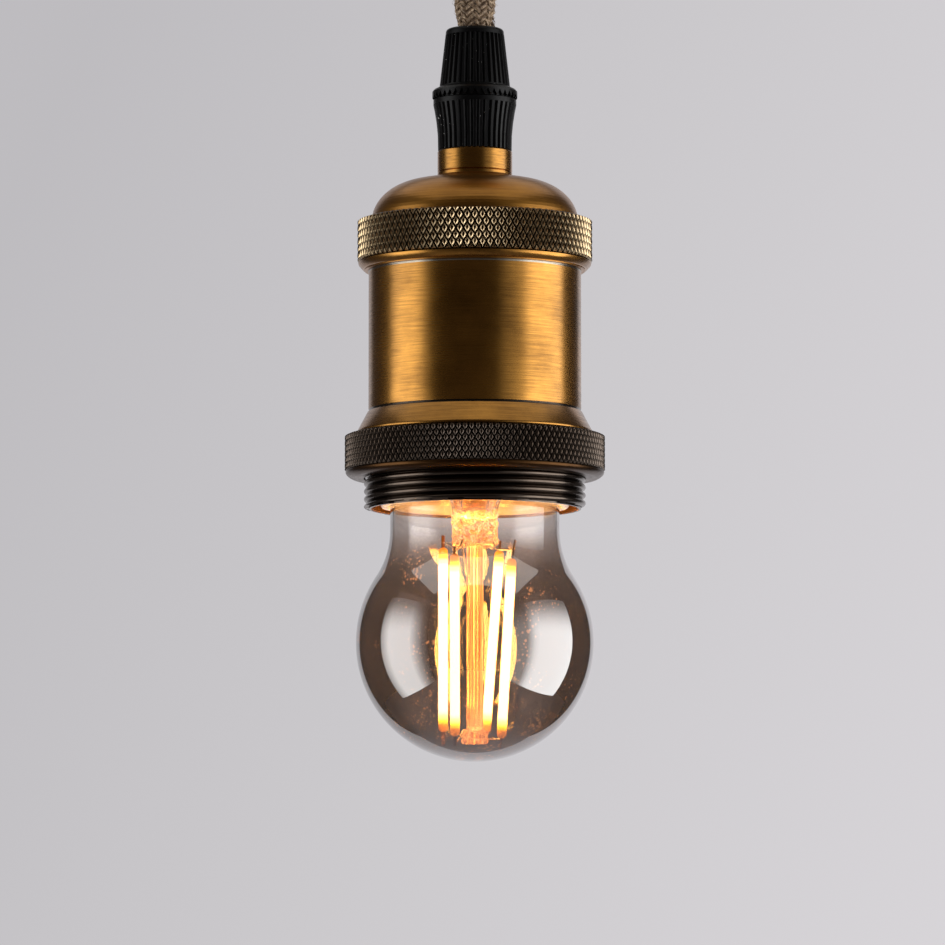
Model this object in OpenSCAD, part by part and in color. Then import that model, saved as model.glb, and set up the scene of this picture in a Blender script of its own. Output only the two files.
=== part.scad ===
// Pendant lamp holder with a globe filament bulb, hung from a ceiling cup by a textile cord.
// Millimetres. The origin is the middle of the ceiling face, and everything hangs towards -Z.

/* [Ceiling cup] */
// Outer diameter of the cup
cup_d = 76; // [66:1:100]
// Height of the cup
cup_h = 26; // [24:1:36]
// Wall of the cup
cup_wall = 1; // [0.8:0.1:1.5]
// Width of the steel strap on the ceiling
strap_w = 16; // [14:1:22]
// Thickness of the strap
strap_t = 1.5; // [1:0.1:2.5]
// Distance between the two ceiling screws
ceiling_screw_gap = 50; // [40:1:54]
// Width of the ceiling screw slots
slot_w = 4.5; // [4:0.1:5.5]
// Length of the ceiling screw slots, end to end
slot_l = 12; // [8:0.5:14]
// Diameter of the two screws that hold the cup
side_screw_d = 4; // [3:0.5:5]
// Distance between the terminals
pole_gap = 8; // [7:0.1:10]
// Length of the cup's own cord grip
cup_grip_h = 17; // [14:0.5:24]

/* [Cord] */
// Diameter of the cord over its braid
cord_d = 7.2; // [6.4:0.1:7.6]
// Free length between the two cord grips
free_cord = 57; // [45:1:120]
// Diameter of one insulated core
core_wire_d = 2.1; // [1.6:0.1:2.3]

/* [Cord grip] */
// Diameter at the mouth of the grip nut
nut_mouth_d = 11.1; // [10.6:0.1:12]
// Diameter at the base of the nut's ribs
nut_base_d = 13.3; // [13:0.1:15]
// Height of the ribbed part of the nut
nut_h = 11.25; // [10:0.05:13]
// Ribs round the nut
nut_ribs = 36; // [24:1:40]
// Diameter of the toothed flange
flange_d = 16.25; // [15.6:0.05:18]
// Height of the toothed flange
flange_h = 2.35; // [2.2:0.05:4]
// Teeth round the flange, and ribs round the collar
collar_ribs = 40; // [28:1:44]
// Diameter at the top of the collar
collar_top_d = 15.85; // [15.2:0.05:17]
// Diameter at the foot of the collar
collar_foot_d = 14.05; // [13.4:0.05:15]
// Height of the collar
collar_h = 9.7; // [8.5:0.1:12]
// Depth of the ribs' grooves
rib_depth = 0.35; // [0.2:0.05:0.45]

/* [Cap] */
// Wall of the two threaded tubes that the cord passes through
tube_wall = 1.15; // [1:0.05:1.5]
// Diameter of the neck bush
neck_d = 14.25; // [13.4:0.05:16]
// Height of the neck bush
neck_h = 4.85; // [4:0.05:8]
// Height of the dome
dome_h = 8.85; // [8.5:0.05:14]
// How far the dome's foot is drawn in from the sleeve
dome_inset = 0.55; // [0.2:0.05:0.8]
// Sheet thickness of the dome
dome_wall = 0.9; // [0.7:0.05:1.1]
// Thickness of the dome's crown, where the neck and the locknut clamp it
crown_t = 1.6; // [1.6:0.1:2.4]
// How far the crown slopes down from the neck to the dome's curve
crown_drop = 0.9; // [0.5:0.1:1.2]
// How far the upper knurled ring stands out from the sleeve
upper_ring_out = 2.15; // [1.8:0.05:5]
// Height of the upper knurled ring
upper_ring_h = 9.6; // [9:0.1:12]

/* [Sleeve] */
// Outer diameter of the body sleeve
sleeve_d = 40.5; // [40:0.1:48]
// Wall of the body sleeve
sleeve_wall = 0.85; // [0.7:0.05:0.9]
// Length of the sleeve in view, from the upper ring to the flare
sleeve_h = 27.1; // [26:0.1:34]
// Height of the flare
flare_h = 4.4; // [4:0.1:6]
// How far the flare stands out from the sleeve
flare_out = 2.15; // [2:0.05:4]
// How far the crests of the shade thread stand out from the sleeve
thread_out = 0.85; // [0.7:0.05:1.2]
// Height of the skirt that carries the shade thread
skirt_h = 14.3; // [14:0.1:18]
// Wall at the mouth, measured from the thread's crests
mouth_wall = 1.6; // [1.4:0.1:1.8]
// How far the shade ring stands out from the thread
shade_ring_out = 3.65; // [3:0.05:9]
// Height of the shade ring
shade_ring_h = 8.4; // [7:0.1:9]

/* [Core] */
// Clearance of the porcelain in the sleeve, on the radius
core_gap = 0.2; // [0.15:0.05:0.4]
// Thickness of the porcelain web between the terminals and the lamp bore
web_h = 5; // [4:0.1:6]
// Gap between the porcelain's guard and the glass neck
neck_clear = 0.7; // [0.5:0.1:1]
// Radial gap between the socket shell and the bulb's cap
cap_gap = 0.25; // [0.2:0.01:0.35]
// Height of the bulb's contact above the mouth
lamp_depth = 30.9; // [30.5:0.1:33]
// Room for the spring above the bulb's contact
spring_room = 4.3; // [4:0.1:6]

/* [Bulb] */
// Diameter of the globe
globe_d = 45.2; // [38:0.1:60]
// Diameter of the glass neck
glass_neck_d = 32.2; // [30:0.1:32.8]
// Height of the straight part of the glass neck
glass_neck_h = 4.65; // [3:0.05:10]
// Radius of the hollow curve between neck and globe
fillet_r = 16.1; // [10:0.1:24]
// Wall of the glass
glass_wall = 0.6; // [0.5:0.05:0.9]
// Outer diameter of the 27 mm screw cap
cap_d = 26.2; // [26.05:0.01:26.45]
// Length of the screw cap from the contact to the rim
cap_l = 26.5; // [25.5:0.1:27]
// How far the stem hangs below the glass neck
stem_drop = 3.45; // [2:0.05:5]
// Diameter of the glass stem where the sticks hang
stem_d = 9; // [7:0.1:10]
// Diameter of the glass rod
rod_d = 3.8; // [3:0.1:4.4]
// Gap between the rod's foot and the glass below it
rod_clear = 2.1; // [1.5:0.1:4]
// Diameter of a filament stick
filament_d = 1.7; // [1.2:0.1:2]
// Distance of the sticks' upper ends from the axis
filament_top_r = 7.9; // [6.5:0.1:8.4]
// Distance of the sticks' lower ends from the axis
filament_foot_r = 6.3; // [5:0.1:8]

/* [Hidden] */
$fn = 72;
eps = 0.01;
run_gap = 0.05;
seat_gap = 0.1;
touch_gap = 0.2;

// The two threaded tubes and what the cord passes through
hole_bore = cord_d + 0.3;
tube_bore = cord_d + 0.5;
tube_d = tube_bore + 2 * tube_wall;
tube_hole_r = tube_d / 2 + run_gap;
locknut_d = tube_d + 6;

// Ceiling fitting
rim_r = 0.7;
side_screw_z = -7;
bracket_reach = cup_d / 2 - cup_wall - 1.2;
block_l = 2 * pole_gap + 9;
block_w = 12;
block_h = 9.5;
block_top_z = -strap_t - seat_gap;
block_foot_z = block_top_z - block_h;
pole_z = block_top_z - 5.4;
grip_screw_z = -cup_h - 9;

// Heights of the pieces' joints, from the ceiling down
exit_z = -(cup_h + cup_grip_h);
nut_top_z = exit_z - free_cord;
flange_z = nut_top_z - nut_h;
nut_foot_z = flange_z - flange_h;
collar_top_z = nut_foot_z - touch_gap;
neck_z = collar_top_z - collar_h;
dome_z = neck_z - neck_h;
step_z = dome_z - dome_h;
upper_ring_z = step_z + 0.4;
sleeve_z = upper_ring_z - upper_ring_h;
flare_z = sleeve_z - sleeve_h;
flare_foot_z = flare_z - flare_h;
skirt_foot_z = flare_foot_z - skirt_h;

// The collar's spigot goes up into the nut, and the split ring stands on it
spigot_r = tube_d / 2 + 0.2;
spigot_top_z = collar_top_z + 6.3;
nut_bore_r = spigot_r + run_gap;
ring_top_r = hole_bore / 2 + 0.4;

// The cap's skirt holds the sleeve's thread, and the knurled ring is pressed over the skirt
sleeve_r = sleeve_d / 2;
dome_r = sleeve_r - dome_inset;
skirt_in_r = sleeve_r + run_gap;
skirt_out_r = skirt_in_r + 0.75;
upper_ring_r = sleeve_r + upper_ring_out;
sleeve_in_r = sleeve_r - sleeve_wall;
sleeve_top_z = step_z - dome_wall - seat_gap;
cap_skirt_foot_z = sleeve_z - 0.2;

// The earth tag lies under the dome, held by the locknut
tag_t = 0.8;
tag_z = dome_z - crown_t - tag_t;
tag_reach = locknut_d / 2 + 2;

// The tube ends just under the locknut
locknut_t = 2.6;
tube_foot_z = tag_z - locknut_t - 0.7;

// The shade ring turns on the thread, which is free below it
flare_r = sleeve_r + flare_out;
thread_r = sleeve_r + thread_out;
mouth_r = thread_r - mouth_wall;
shade_ring_r = thread_r + shade_ring_out;
shade_ring_top_z = flare_foot_z - seat_gap;
shade_ring_foot_z = shade_ring_top_z - shade_ring_h;

// The porcelain stands on the sleeve's ledge, just inside the mouth
core_r = sleeve_in_r - core_gap;
ledge_z = skirt_foot_z + 1.6;
ledge_h = 0.8;
ledge_r = core_r - 1.1;
core_foot_z = ledge_z + ledge_h + run_gap;
core_top_z = sleeve_top_z - seat_gap;

// The bulb's cap, from its contact down, and the socket round it
bulb_top_z = skirt_foot_z + lamp_depth;
cap_r = cap_d / 2;
cap_rim_z = bulb_top_z - cap_l;
cap_wall = 0.35;
eyelet_h = 1.6;
insulator_h = 3.6;
insulator_r = cap_r - 1.9;
shell_top_z = bulb_top_z - eyelet_h - insulator_h;
socket_in_r = cap_r + cap_gap;
socket_wall = 0.4;
socket_out_r = socket_in_r + socket_wall;
bore_r = socket_out_r + 0.4;
cavity_z = bulb_top_z + spring_room;
web_top_z = cavity_z + web_h;
socket_foot_z = cap_rim_z + 3.2;
socket_top_z = shell_top_z + 1;

// Glass: shoulder, straight neck, hollow curve and globe
globe_r = globe_d / 2;
glass_neck_r = glass_neck_d / 2;
glass_top_r = cap_r - 0.75;
shoulder_z = cap_rim_z - 3.7;
fillet_z = shoulder_z - glass_neck_h;
neck_rise = sqrt(pow(globe_r + fillet_r, 2) - pow(glass_neck_r + fillet_r, 2));
join_angle = atan2(neck_rise, glass_neck_r + fillet_r);
globe_z = fillet_z - neck_rise;

// Stem, rod and sticks
stem_foot_z = fillet_z - stem_drop;
stem_r = stem_d / 2;
rod_r = rod_d / 2;
bead_h = 3.4;
bead_out = 0.8;
bead_foot_z = globe_z - globe_r + glass_wall + rod_clear;
tab_l = 2.6;
tab_w = 0.9;
tab_t = 0.25;
wire_r = 0.25;
support_z = bead_foot_z + bead_h / 2 - 0.6;
stick_top_z = stem_foot_z - 0.7;
stick_foot_z = support_z + tab_l - 1;
stick_turn = [145.5, 238.5, 58.5, -35];
stick_foot_turn = [151, 242, 68, -28];
stick_count = len(stick_turn);

// The driver board hangs under the insulator
board_x = insulator_r - 0.6;
board_l = 12;
board_t = 1;
board_top_z = shell_top_z - 0.03;

// Terminals, rivet and shank in the porcelain
terminal_x = 9.5;
terminal_z = web_top_z + 4.2;
rivet_x = 7.2;
shank_x = 11.6;
rivet_d = 2.5;

// The cord's line, from the stripped end in the cup to the one under the dome
wire_start_z = tube_foot_z - 0.5;
tail_points = [[0, 0, -16], [0, 0, -25], [0, 0, -34], [0, 0, exit_z]];
cord_points = [for (i = [0 : 6]) [0, 0, exit_z + (wire_start_z - exit_z) * i / 6]];

// Points of an arc from angle a0 to a1, with its own radii across and up
function arc(cx, cz, rx, rz, a0, a1, n = 16) =
    [for (i = [0 : n]) let (a = a0 + (a1 - a0) * i / n) [cx + rx * cos(a), cz + rz * sin(a)]];

// Points of a shallow dome from its middle at height z out to radius r, where it has risen by rise
function dished(r, z, rise) =
    [for (a = [0 : 10 : 60]) [r * sin(a) / sin(60), z + rise * (1 - cos(a)) / (1 - cos(60))]];

function unit(v) = v / norm(v);

// Direction of a path at point i
function heading(path, i) =
    unit(path[min(i + 1, len(path) - 1)] - path[max(i - 1, 0)]);

// One unbroken tube along a path. side is a direction that no part of the path runs along
module swept_tube(path, r, side, sides = 8) {
    rings = [for (i = [0 : len(path) - 1])
        let (t = heading(path, i), u = unit(cross(t, side)), v = cross(t, u))
        for (k = [0 : sides - 1])
            let (a = 360 * k / sides) path[i] + r * (cos(a) * u + sin(a) * v)];
    last = (len(path) - 1) * sides;
    walls = [for (i = [0 : len(path) - 2], k = [0 : sides - 1])
        let (a = i * sides + k, b = i * sides + (k + 1) % sides)
        each [[a, b, b + sides], [a, b + sides, a + sides]]];
    start = [for (k = [1 : sides - 2]) [0, k + 1, k]];
    end = [for (k = [1 : sides - 2]) [last, last + k, last + k + 1]];
    polyhedron(points = rings, faces = concat(walls, start, end));
}

module turned(points) {
    rotate_extrude() polygon(points);
}

// A ring with square edges
module washer(r_in, r_out, z_low, z_high) {
    turned([[r_in, z_low], [r_out, z_low], [r_out, z_high], [r_in, z_high]]);
}

// A straight round bar between two points
module bar(a, b, r, sides = 16) {
    d = b - a;
    translate(a)
        rotate([0, acos(d.z / norm(d)), atan2(d.y, d.x)])
            cylinder(r = r, h = norm(d), $fn = sides);
}

// Upright V grooves, cut along the line from [r, z] at the foot to [r, z] at the top
module rib_grooves(count, foot, top, depth) {
    rise = top.y - foot.y;
    lean = atan2(foot.x - top.x, rise);
    for (i = [0 : count - 1])
        rotate([0, 0, 360 * (i + 0.5) / count])
            translate([foot.x, 0, foot.y])
                rotate([0, -lean, 0])
                    linear_extrude(norm(top - foot))
                        polygon([[-depth, 0], [0.3, -depth * 1.3 - 0.2], [0.3, depth * 1.3 + 0.2]]);
}

// Ceiling fitting

module ceiling_cup() {
    r = cup_d / 2;
    floor_r = 9;
    wall_z = -9;
    color("peru")
    difference() {
        turned(concat(
            [[tube_hole_r, -cup_h], [floor_r, -cup_h]],
            arc(floor_r, wall_z, r - floor_r, cup_h + wall_z, -90, 0),
            [[r, -1.6], [r + rim_r, -1.2], [r + rim_r, -0.4], [r + 0.3, 0], [r - cup_wall, 0]],
            arc(floor_r, wall_z, r - floor_r - cup_wall, cup_h + wall_z - cup_wall, 0, -90),
            [[tube_hole_r, cup_wall - cup_h]]
        ));
        for (side = [-1, 1])
            translate([side * r, 0, side_screw_z])
                rotate([0, 90, 0]) cylinder(d = side_screw_d + 0.4, h = 8, center = true);
    }
}

module ceiling_bracket() {
    ear_h = 12;
    color("silver")
    difference() {
        union() {
            translate([-bracket_reach, -strap_w / 2, -strap_t])
                cube([2 * bracket_reach, strap_w, strap_t]);
            for (side = [-1, 1])
                translate([side * (bracket_reach - strap_t / 2), 0, -ear_h / 2])
                    cube([strap_t, strap_w - 4, ear_h], center = true);
        }
        for (side = [-1, 1]) {
            for (end = [-1, 1])
                translate([side * ceiling_screw_gap / 2 + end * (slot_l - slot_w) / 2, 0, -strap_t])
                    cylinder(d = slot_w, h = 3 * strap_t, center = true);
            translate([side * ceiling_screw_gap / 2, 0, -strap_t])
                cube([slot_l - slot_w, slot_w, 3 * strap_t], center = true);
            translate([side * bracket_reach, 0, side_screw_z])
                rotate([0, 90, 0]) cylinder(d = side_screw_d + 2 * run_gap, h = 8, center = true);
        }
    }
}

module cup_screws() {
    shank_r = side_screw_d / 2;
    head_r = shank_r + 1.6;
    color("peru")
    for (side = [0, 180])
        rotate([0, 0, side])
            translate([cup_d / 2 + 0.2, 0, side_screw_z])
                rotate([0, 90, 0])
                    turned(concat(
                        [[0, -6], [shank_r, -6], [shank_r, 0], [head_r, 0]],
                        arc(head_r - 0.8, 2.2, 0.8, 0.8, 0, 90, 6),
                        [[0, 3]]
                    ));
}

module terminal_block() {
    color("ivory")
    difference() {
        union() {
            translate([-block_l / 2, -block_w / 2, block_foot_z]) cube([block_l, block_w, block_h]);
            for (pole = [-1 : 1])
                translate([pole * pole_gap, 0, block_foot_z - 1.5]) cylinder(d = 6, h = 3);
        }
        for (pole = [-1 : 1]) {
            translate([pole * pole_gap, 0, pole_z])
                rotate([90, 0, 0]) cylinder(d = 3, h = 20, center = true);
            translate([pole * pole_gap, 0, block_foot_z - 2]) cylinder(d = 3.6, h = 4);
        }
    }
}

module terminal_screws() {
    color("gold")
    for (pole = [-1 : 1])
        translate([pole * pole_gap, 0, block_foot_z - 1])
            difference() {
                cylinder(d = 3.3, h = 2.4);
                translate([0, 0, -eps]) cube([4, 0.6, 1.4], center = true);
            }
}

module cup_tube() {
    color("silver") washer(tube_bore / 2, tube_d / 2, -cup_h - 5, -cup_h + 5.5);
}

module cup_locknut() {
    color("silver")
    difference() {
        translate([0, 0, cup_wall - cup_h]) cylinder(d = locknut_d, h = 3, $fn = 6);
        translate([0, 0, -cup_h]) cylinder(r = tube_hole_r, h = 10);
    }
}

module cup_cord_grip() {
    mouth_r = nut_mouth_d / 2;
    top_z = -cup_h - eps;
    base_r = tube_d / 2 + 3;
    color("dimgray")
    difference() {
        turned(concat(
            [[hole_bore / 2, exit_z], [mouth_r - 0.6, exit_z]],
            arc(mouth_r - 0.6, exit_z + 0.6, 0.6, 0.6, -90, 0, 6),
            [[base_r - 1, top_z - 4], [base_r, top_z - 3], [base_r, top_z],
             [tube_hole_r, top_z], [tube_hole_r, top_z - 5.4], [hole_bore / 2, top_z - 6.4]]
        ));
        rib_grooves(nut_ribs, [mouth_r + 0.12, exit_z + 1.4], [base_r - 1.15, top_z - 4.6], rib_depth);
        translate([0, 0, grip_screw_z]) rotate([0, 90, 0]) cylinder(d = 4, h = 12);
    }
}

module grip_side_screw() {
    color("dimgray")
    translate([0, 0, grip_screw_z])
        rotate([0, 90, 0])
            translate([0, 0, cord_d / 2 + seat_gap])
                difference() {
                    cylinder(d = 3.9, h = 3.6);
                    translate([0, 0, 3.6]) cube([5, 0.7, 1.6], center = true);
                }
}

module cord_tail() {
    color("tan") swept_tube(tail_points, cord_d / 2, [1, 0, 0], 12);
}

module cord() {
    color("tan") swept_tube(cord_points, cord_d / 2, [1, 0, 0], 12);
}

module supply_cores() {
    outer = [[1.4, 0.8, -16], [1.4, 0.8, -15], [2.6, 0.2, -13.8], [5.4, -5, -12.8], [pole_gap, -10, -10.8],
             [pole_gap + 0.3, -10.6, -8.2], [pole_gap, -8, pole_z], [pole_gap, -5, pole_z]];
    middle = [[0, -1.7, -16], [0, -1.7, -15.2], [0, -2.6, -14.2], [0, -6.4, -13.2], [0, -10.2, -11],
              [0, -10.6, -8.2], [0, -8, pole_z], [0, -5, pole_z]];
    mirrored = [for (p = outer) [-p.x, p.y, p.z]];
    color("saddlebrown") swept_tube(mirrored, core_wire_d / 2, [1, 0.25, 0.1]);
    color("yellowgreen") swept_tube(middle, core_wire_d / 2, [1, 0, 0]);
    color("royalblue") swept_tube(outer, core_wire_d / 2, [1, -0.25, 0.1]);
}

// Cord grip on the holder

module grip_nut() {
    mouth_r = nut_mouth_d / 2;
    base_r = nut_base_d / 2;
    flange_r = flange_d / 2;
    tooth_h = 1.2;
    tooth_w = 1.2;
    color("dimgray")
    difference() {
        turned(concat(
            [[nut_bore_r, nut_foot_z], [flange_r - 0.25, nut_foot_z], [flange_r, nut_foot_z + 0.25],
             [flange_r, flange_z - 0.9], [flange_r - 0.35, flange_z - 0.5], [base_r + 0.1, flange_z]],
            arc(mouth_r - 0.7, nut_top_z - 0.7, 0.7, 0.7, 0, 90, 6),
            [[hole_bore / 2, nut_top_z], [hole_bore / 2, nut_top_z - 2.4],
             [nut_bore_r, nut_top_z - 5]]
        ));
        rib_grooves(nut_ribs, [base_r + 0.08, flange_z + 0.15], [mouth_r, nut_top_z - 1.3], rib_depth);
        for (i = [0 : collar_ribs - 1])
            rotate([0, 0, 360 * i / collar_ribs])
                translate([flange_r + 0.01, 0, nut_foot_z - eps])
                    rotate([90, 0, 90])
                        translate([0, 0, -0.55])
                            linear_extrude(1)
                                polygon([[-tooth_w / 2, 0], [tooth_w / 2, 0], [0, tooth_h]]);
    }
}

module grip_ring() {
    top_z = nut_top_z - 3.3;
    foot_z = spigot_top_z + seat_gap;
    inner_r = cord_d / 2 + run_gap;
    outer_r = nut_bore_r - 0.3;
    color("dimgray")
    difference() {
        turned([[inner_r, foot_z], [outer_r, foot_z], [outer_r, nut_top_z - 5.3],
                [ring_top_r, top_z], [inner_r, top_z]]);
        translate([0, -0.5, foot_z - 1]) cube([10, 1, 10]);
    }
}

module grip_collar() {
    top_r = collar_top_d / 2;
    foot_r = collar_foot_d / 2;
    swell = top_r - foot_r;
    band_h = 0.9;
    outline = [[foot_r, neck_z], [foot_r + 0.06 * swell, neck_z + 0.3 * collar_h],
               [foot_r + 0.32 * swell, neck_z + 0.55 * collar_h],
               [foot_r + 0.68 * swell, neck_z + 0.76 * collar_h], [top_r, collar_top_z - band_h]];
    color("dimgray")
    difference() {
        turned(concat(
            [[tube_hole_r, neck_z]], outline,
            [[top_r, collar_top_z],
             [spigot_r, collar_top_z], [spigot_r, spigot_top_z - 0.3],
             [spigot_r - 0.3, spigot_top_z], [ring_top_r, spigot_top_z],
             [hole_bore / 2, spigot_top_z - 1.5], [hole_bore / 2, collar_top_z - 1.2],
             [tube_hole_r, collar_top_z - 2.4]]
        ));
        for (i = [0 : len(outline) - 2])
            rib_grooves(collar_ribs, outline[i] - [0, eps], outline[i + 1], rib_depth);
    }
}

module holder_tube() {
    color("silver") washer(tube_bore / 2, tube_d / 2, tube_foot_z, collar_top_z - 2.6);
}

module neck_bush() {
    r = neck_d / 2;
    color("darkgoldenrod")
    turned([[tube_hole_r, dome_z], [r, dome_z], [r, dome_z + 0.5],
            [r - 0.15, dome_z + 0.65], [r, dome_z + 0.8], [r, neck_z - 0.3],
            [r - 0.3, neck_z], [tube_hole_r, neck_z]]);
}

module holder_locknut() {
    color("silver")
    difference() {
        translate([0, 0, tag_z - locknut_t]) cylinder(d = locknut_d, h = locknut_t, $fn = 6);
        translate([0, 0, tag_z - 2 * locknut_t]) cylinder(r = tube_hole_r, h = 3 * locknut_t);
    }
}

module earth_tag() {
    finger_t = 0.5;
    color("gold")
    difference() {
        union() {
            translate([0, 0, tag_z]) cylinder(d = locknut_d, h = tag_t);
            translate([0, -2, tag_z]) cube([tag_reach, 4, finger_t]);
            translate([tag_reach - 0.8, -2, tag_z - 3]) cube([0.8, 4, 3 + finger_t]);
        }
        translate([0, 0, tag_z - 1]) cylinder(r = tube_hole_r, h = 4);
    }
}

module dome_cap() {
    crown_r = 9.6;
    curve_h = dome_h - crown_drop;
    seat_z = dome_z - crown_t;
    color("darkgoldenrod")
    turned(concat(
        [[tube_hole_r, seat_z], [tube_hole_r, dome_z], [neck_d / 2, dome_z]],
        arc(crown_r, step_z, dome_r - crown_r, curve_h, 90, 0, 20),
        [[skirt_out_r - 0.3, step_z], [skirt_out_r, step_z - 0.3],
         [skirt_out_r, cap_skirt_foot_z], [skirt_in_r, cap_skirt_foot_z],
         [skirt_in_r, step_z - dome_wall], [dome_r - dome_wall, step_z - dome_wall],
         [dome_r - dome_wall, step_z]],
        arc(crown_r, step_z, dome_r - crown_r - dome_wall, curve_h - dome_wall, 0, 90, 20),
        [[locknut_d / 2 + 0.3, seat_z]]
    ));
}

module upper_ring() {
    r = upper_ring_r;
    bore = skirt_out_r + 0.02;
    lip_r = dome_r + 0.1;
    round_out = 2;
    round_h = 1.7;
    color("peru")
    turned(concat(
        [[bore, sleeve_z], [bore + 0.15, sleeve_z], [r, sleeve_z + 1.5]],
        arc(r - round_out, upper_ring_z - round_h, round_out, round_h, 0, 90, 8),
        [[lip_r, upper_ring_z], [lip_r, step_z + 0.02], [bore, step_z + 0.02]]
    ));
}

module live_core() {
    color("saddlebrown")
    swept_tube([[1.6, 0, wire_start_z], [1.6, 0, wire_start_z - 1.4], [4.6, -3.2, wire_start_z - 4.4],
                [8.6, -9.2, terminal_z + 5], [9.4, -10.4, terminal_z + 1.6],
                [terminal_x, -8.6, terminal_z], [terminal_x, -3.4, terminal_z]],
        core_wire_d / 2, [1, 0.2, 0.1]);
}

module neutral_core() {
    color("royalblue")
    swept_tube([[-1.6, 0, wire_start_z], [-1.6, 0, wire_start_z - 1.4], [-4.6, -3.2, wire_start_z - 4.4],
                [-8.6, -9.2, terminal_z + 5], [-9.4, -10.4, terminal_z + 1.6],
                [-terminal_x, -8.6, terminal_z], [-terminal_x, -3.4, terminal_z]],
        core_wire_d / 2, [1, -0.2, 0.1]);
}

module earth_core() {
    color("yellowgreen")
    swept_tube([[0, 2.2, wire_start_z], [0, 2.2, wire_start_z - 1.2], [3.2, 3.2, wire_start_z - 2.8],
                [7, 2.2, wire_start_z - 2.8], [9.2, 0.6, wire_start_z - 1.6],
                [9.6, 0, wire_start_z - 0.6], [9.6, 0, wire_start_z + 0.7]],
        core_wire_d / 2, [0.2, 1, 0]);
}

// Sleeve and shade ring

module body_sleeve() {
    groove = 0.15;
    relief_z = shade_ring_foot_z - seat_gap;
    relief_w = 0.8;
    color("darkgoldenrod")
    turned([
         [sleeve_in_r, sleeve_top_z], [sleeve_r - 0.3, sleeve_top_z], [sleeve_r, sleeve_top_z - 0.3],
         [sleeve_r, flare_z + 0.35], [sleeve_r - groove, flare_z + 0.1], [sleeve_r + 0.12, flare_z - 0.15],
         [flare_r, flare_foot_z + 0.5], [flare_r - 0.1, flare_foot_z], [thread_r, flare_foot_z],
         [thread_r, relief_z], [thread_r - 0.5, relief_z - relief_w / 2], [thread_r, relief_z - relief_w],
         [thread_r, skirt_foot_z + 0.6], [thread_r - 0.6, skirt_foot_z],
         [mouth_r, skirt_foot_z], [mouth_r, ledge_z], [ledge_r, ledge_z],
         [ledge_r, ledge_z + ledge_h], [sleeve_in_r, ledge_z + ledge_h]
    ]);
}

module shade_ring() {
    r = shade_ring_r;
    bore = thread_r + run_gap;
    color("dimgray")
    turned(concat(
        [[bore, shade_ring_foot_z]],
        arc(r - 2, shade_ring_foot_z + 1.8, 2, 1.8, -90, 0, 10),
        arc(r - 1.5, shade_ring_top_z - 1.1, 1.5, 1.1, 0, 90, 6),
        [[bore, shade_ring_top_z]]
    ));
}

// Core

module porcelain_core() {
    guard_r = glass_neck_r + neck_clear;
    wall_in_r = core_r - 2.4;
    guard_z = socket_foot_z - 0.6;
    color("white")
    difference() {
        turned([[0, cavity_z], [bore_r, cavity_z], [bore_r, guard_z], [guard_r, guard_z - 2],
                [guard_r, core_foot_z], [core_r - 0.4, core_foot_z], [core_r, core_foot_z + 0.4],
                [core_r, core_top_z], [wall_in_r, core_top_z], [wall_in_r, web_top_z],
                [0, web_top_z]]);
        for (side = [0, 180])
            rotate([0, 0, side + 90])
                translate([wall_in_r + 1, 0, core_top_z - 4.5])
                    cube([8, 12, 12], center = true);
        for (x = [rivet_x, -shank_x])
            translate([x, 0, cavity_z - 1]) cylinder(d = rivet_d + 2 * run_gap, h = web_h + 2);
    }
}

module screw_shell() {
    top_z = socket_top_z + socket_wall;
    lip_r = insulator_r - 0.8;
    color("gold")
    turned([[socket_in_r, socket_top_z], [socket_in_r, socket_foot_z], [socket_out_r, socket_foot_z],
            [socket_out_r, top_z], [lip_r, top_z], [lip_r, socket_top_z]]);
}

module terminal(x) {
    difference() {
        translate([x - 3, -4, web_top_z]) cube([6, 8, 7]);
        translate([x, 0, terminal_z])
            rotate([90, 0, 0]) cylinder(d = 2.6, h = 20, center = true);
        translate([x, 0, web_top_z + 5]) cylinder(d = 3, h = 4);
    }
}

module live_terminal() {
    color("gold")
    union() {
        terminal(terminal_x);
        translate([rivet_x, 0, cavity_z]) cylinder(d = rivet_d, h = web_h + 1);
    }
}

module neutral_terminal() {
    shank_foot = socket_top_z + socket_wall;
    color("gold")
    union() {
        terminal(-terminal_x);
        translate([-shank_x, 0, shank_foot]) cylinder(d = rivet_d, h = web_top_z - shank_foot + 1);
    }
}

module core_terminal_screws() {
    color("silver")
    for (side = [-1, 1])
        translate([side * terminal_x, 0, terminal_z + 1.35])
            difference() {
                union() {
                    cylinder(d = 2.8, h = 2.6);
                    translate([0, 0, 1.6]) cylinder(d = 4.6, h = 1.6);
                }
                translate([0, 0, 3.2]) cube([6, 0.7, 1.4], center = true);
            }
}

// A strip that leaves the rivet, bows down and carries the tip over the bulb's contact
module contact_spring() {
    strip_t = 0.4;
    strip_w = 5;
    tip_top_z = bulb_top_z + 1.3;
    line = [[rivet_x + 2, cavity_z], [rivet_x - 2, cavity_z], [3.4, tip_top_z + 0.9],
            [1.4, tip_top_z + 0.1], [-2.4, tip_top_z + 0.1]];
    color("gold")
    translate([0, strip_w / 2, 0])
        rotate([90, 0, 0])
            linear_extrude(strip_w)
                polygon(concat(
                    [for (p = line) [p.x, p.y]],
                    [for (i = [len(line) - 1 : -1 : 0]) [line[i].x, line[i].y - strip_t]]
                ));
}

module contact_tip() {
    r = 2.6;
    foot_z = bulb_top_z + run_gap;
    color("silver") turned(concat(dished(r, foot_z, 0.5), [[r, foot_z + 0.9], [0, foot_z + 0.9]]));
}

// Bulb

module base_contact() {
    z = bulb_top_z;
    foot_z = z - eyelet_h + run_gap;
    color("silver")
    turned(concat(dished(3, z, -0.7), [[4.8, z - 0.8], [4.8, foot_z], [0, foot_z]]));
}

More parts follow.
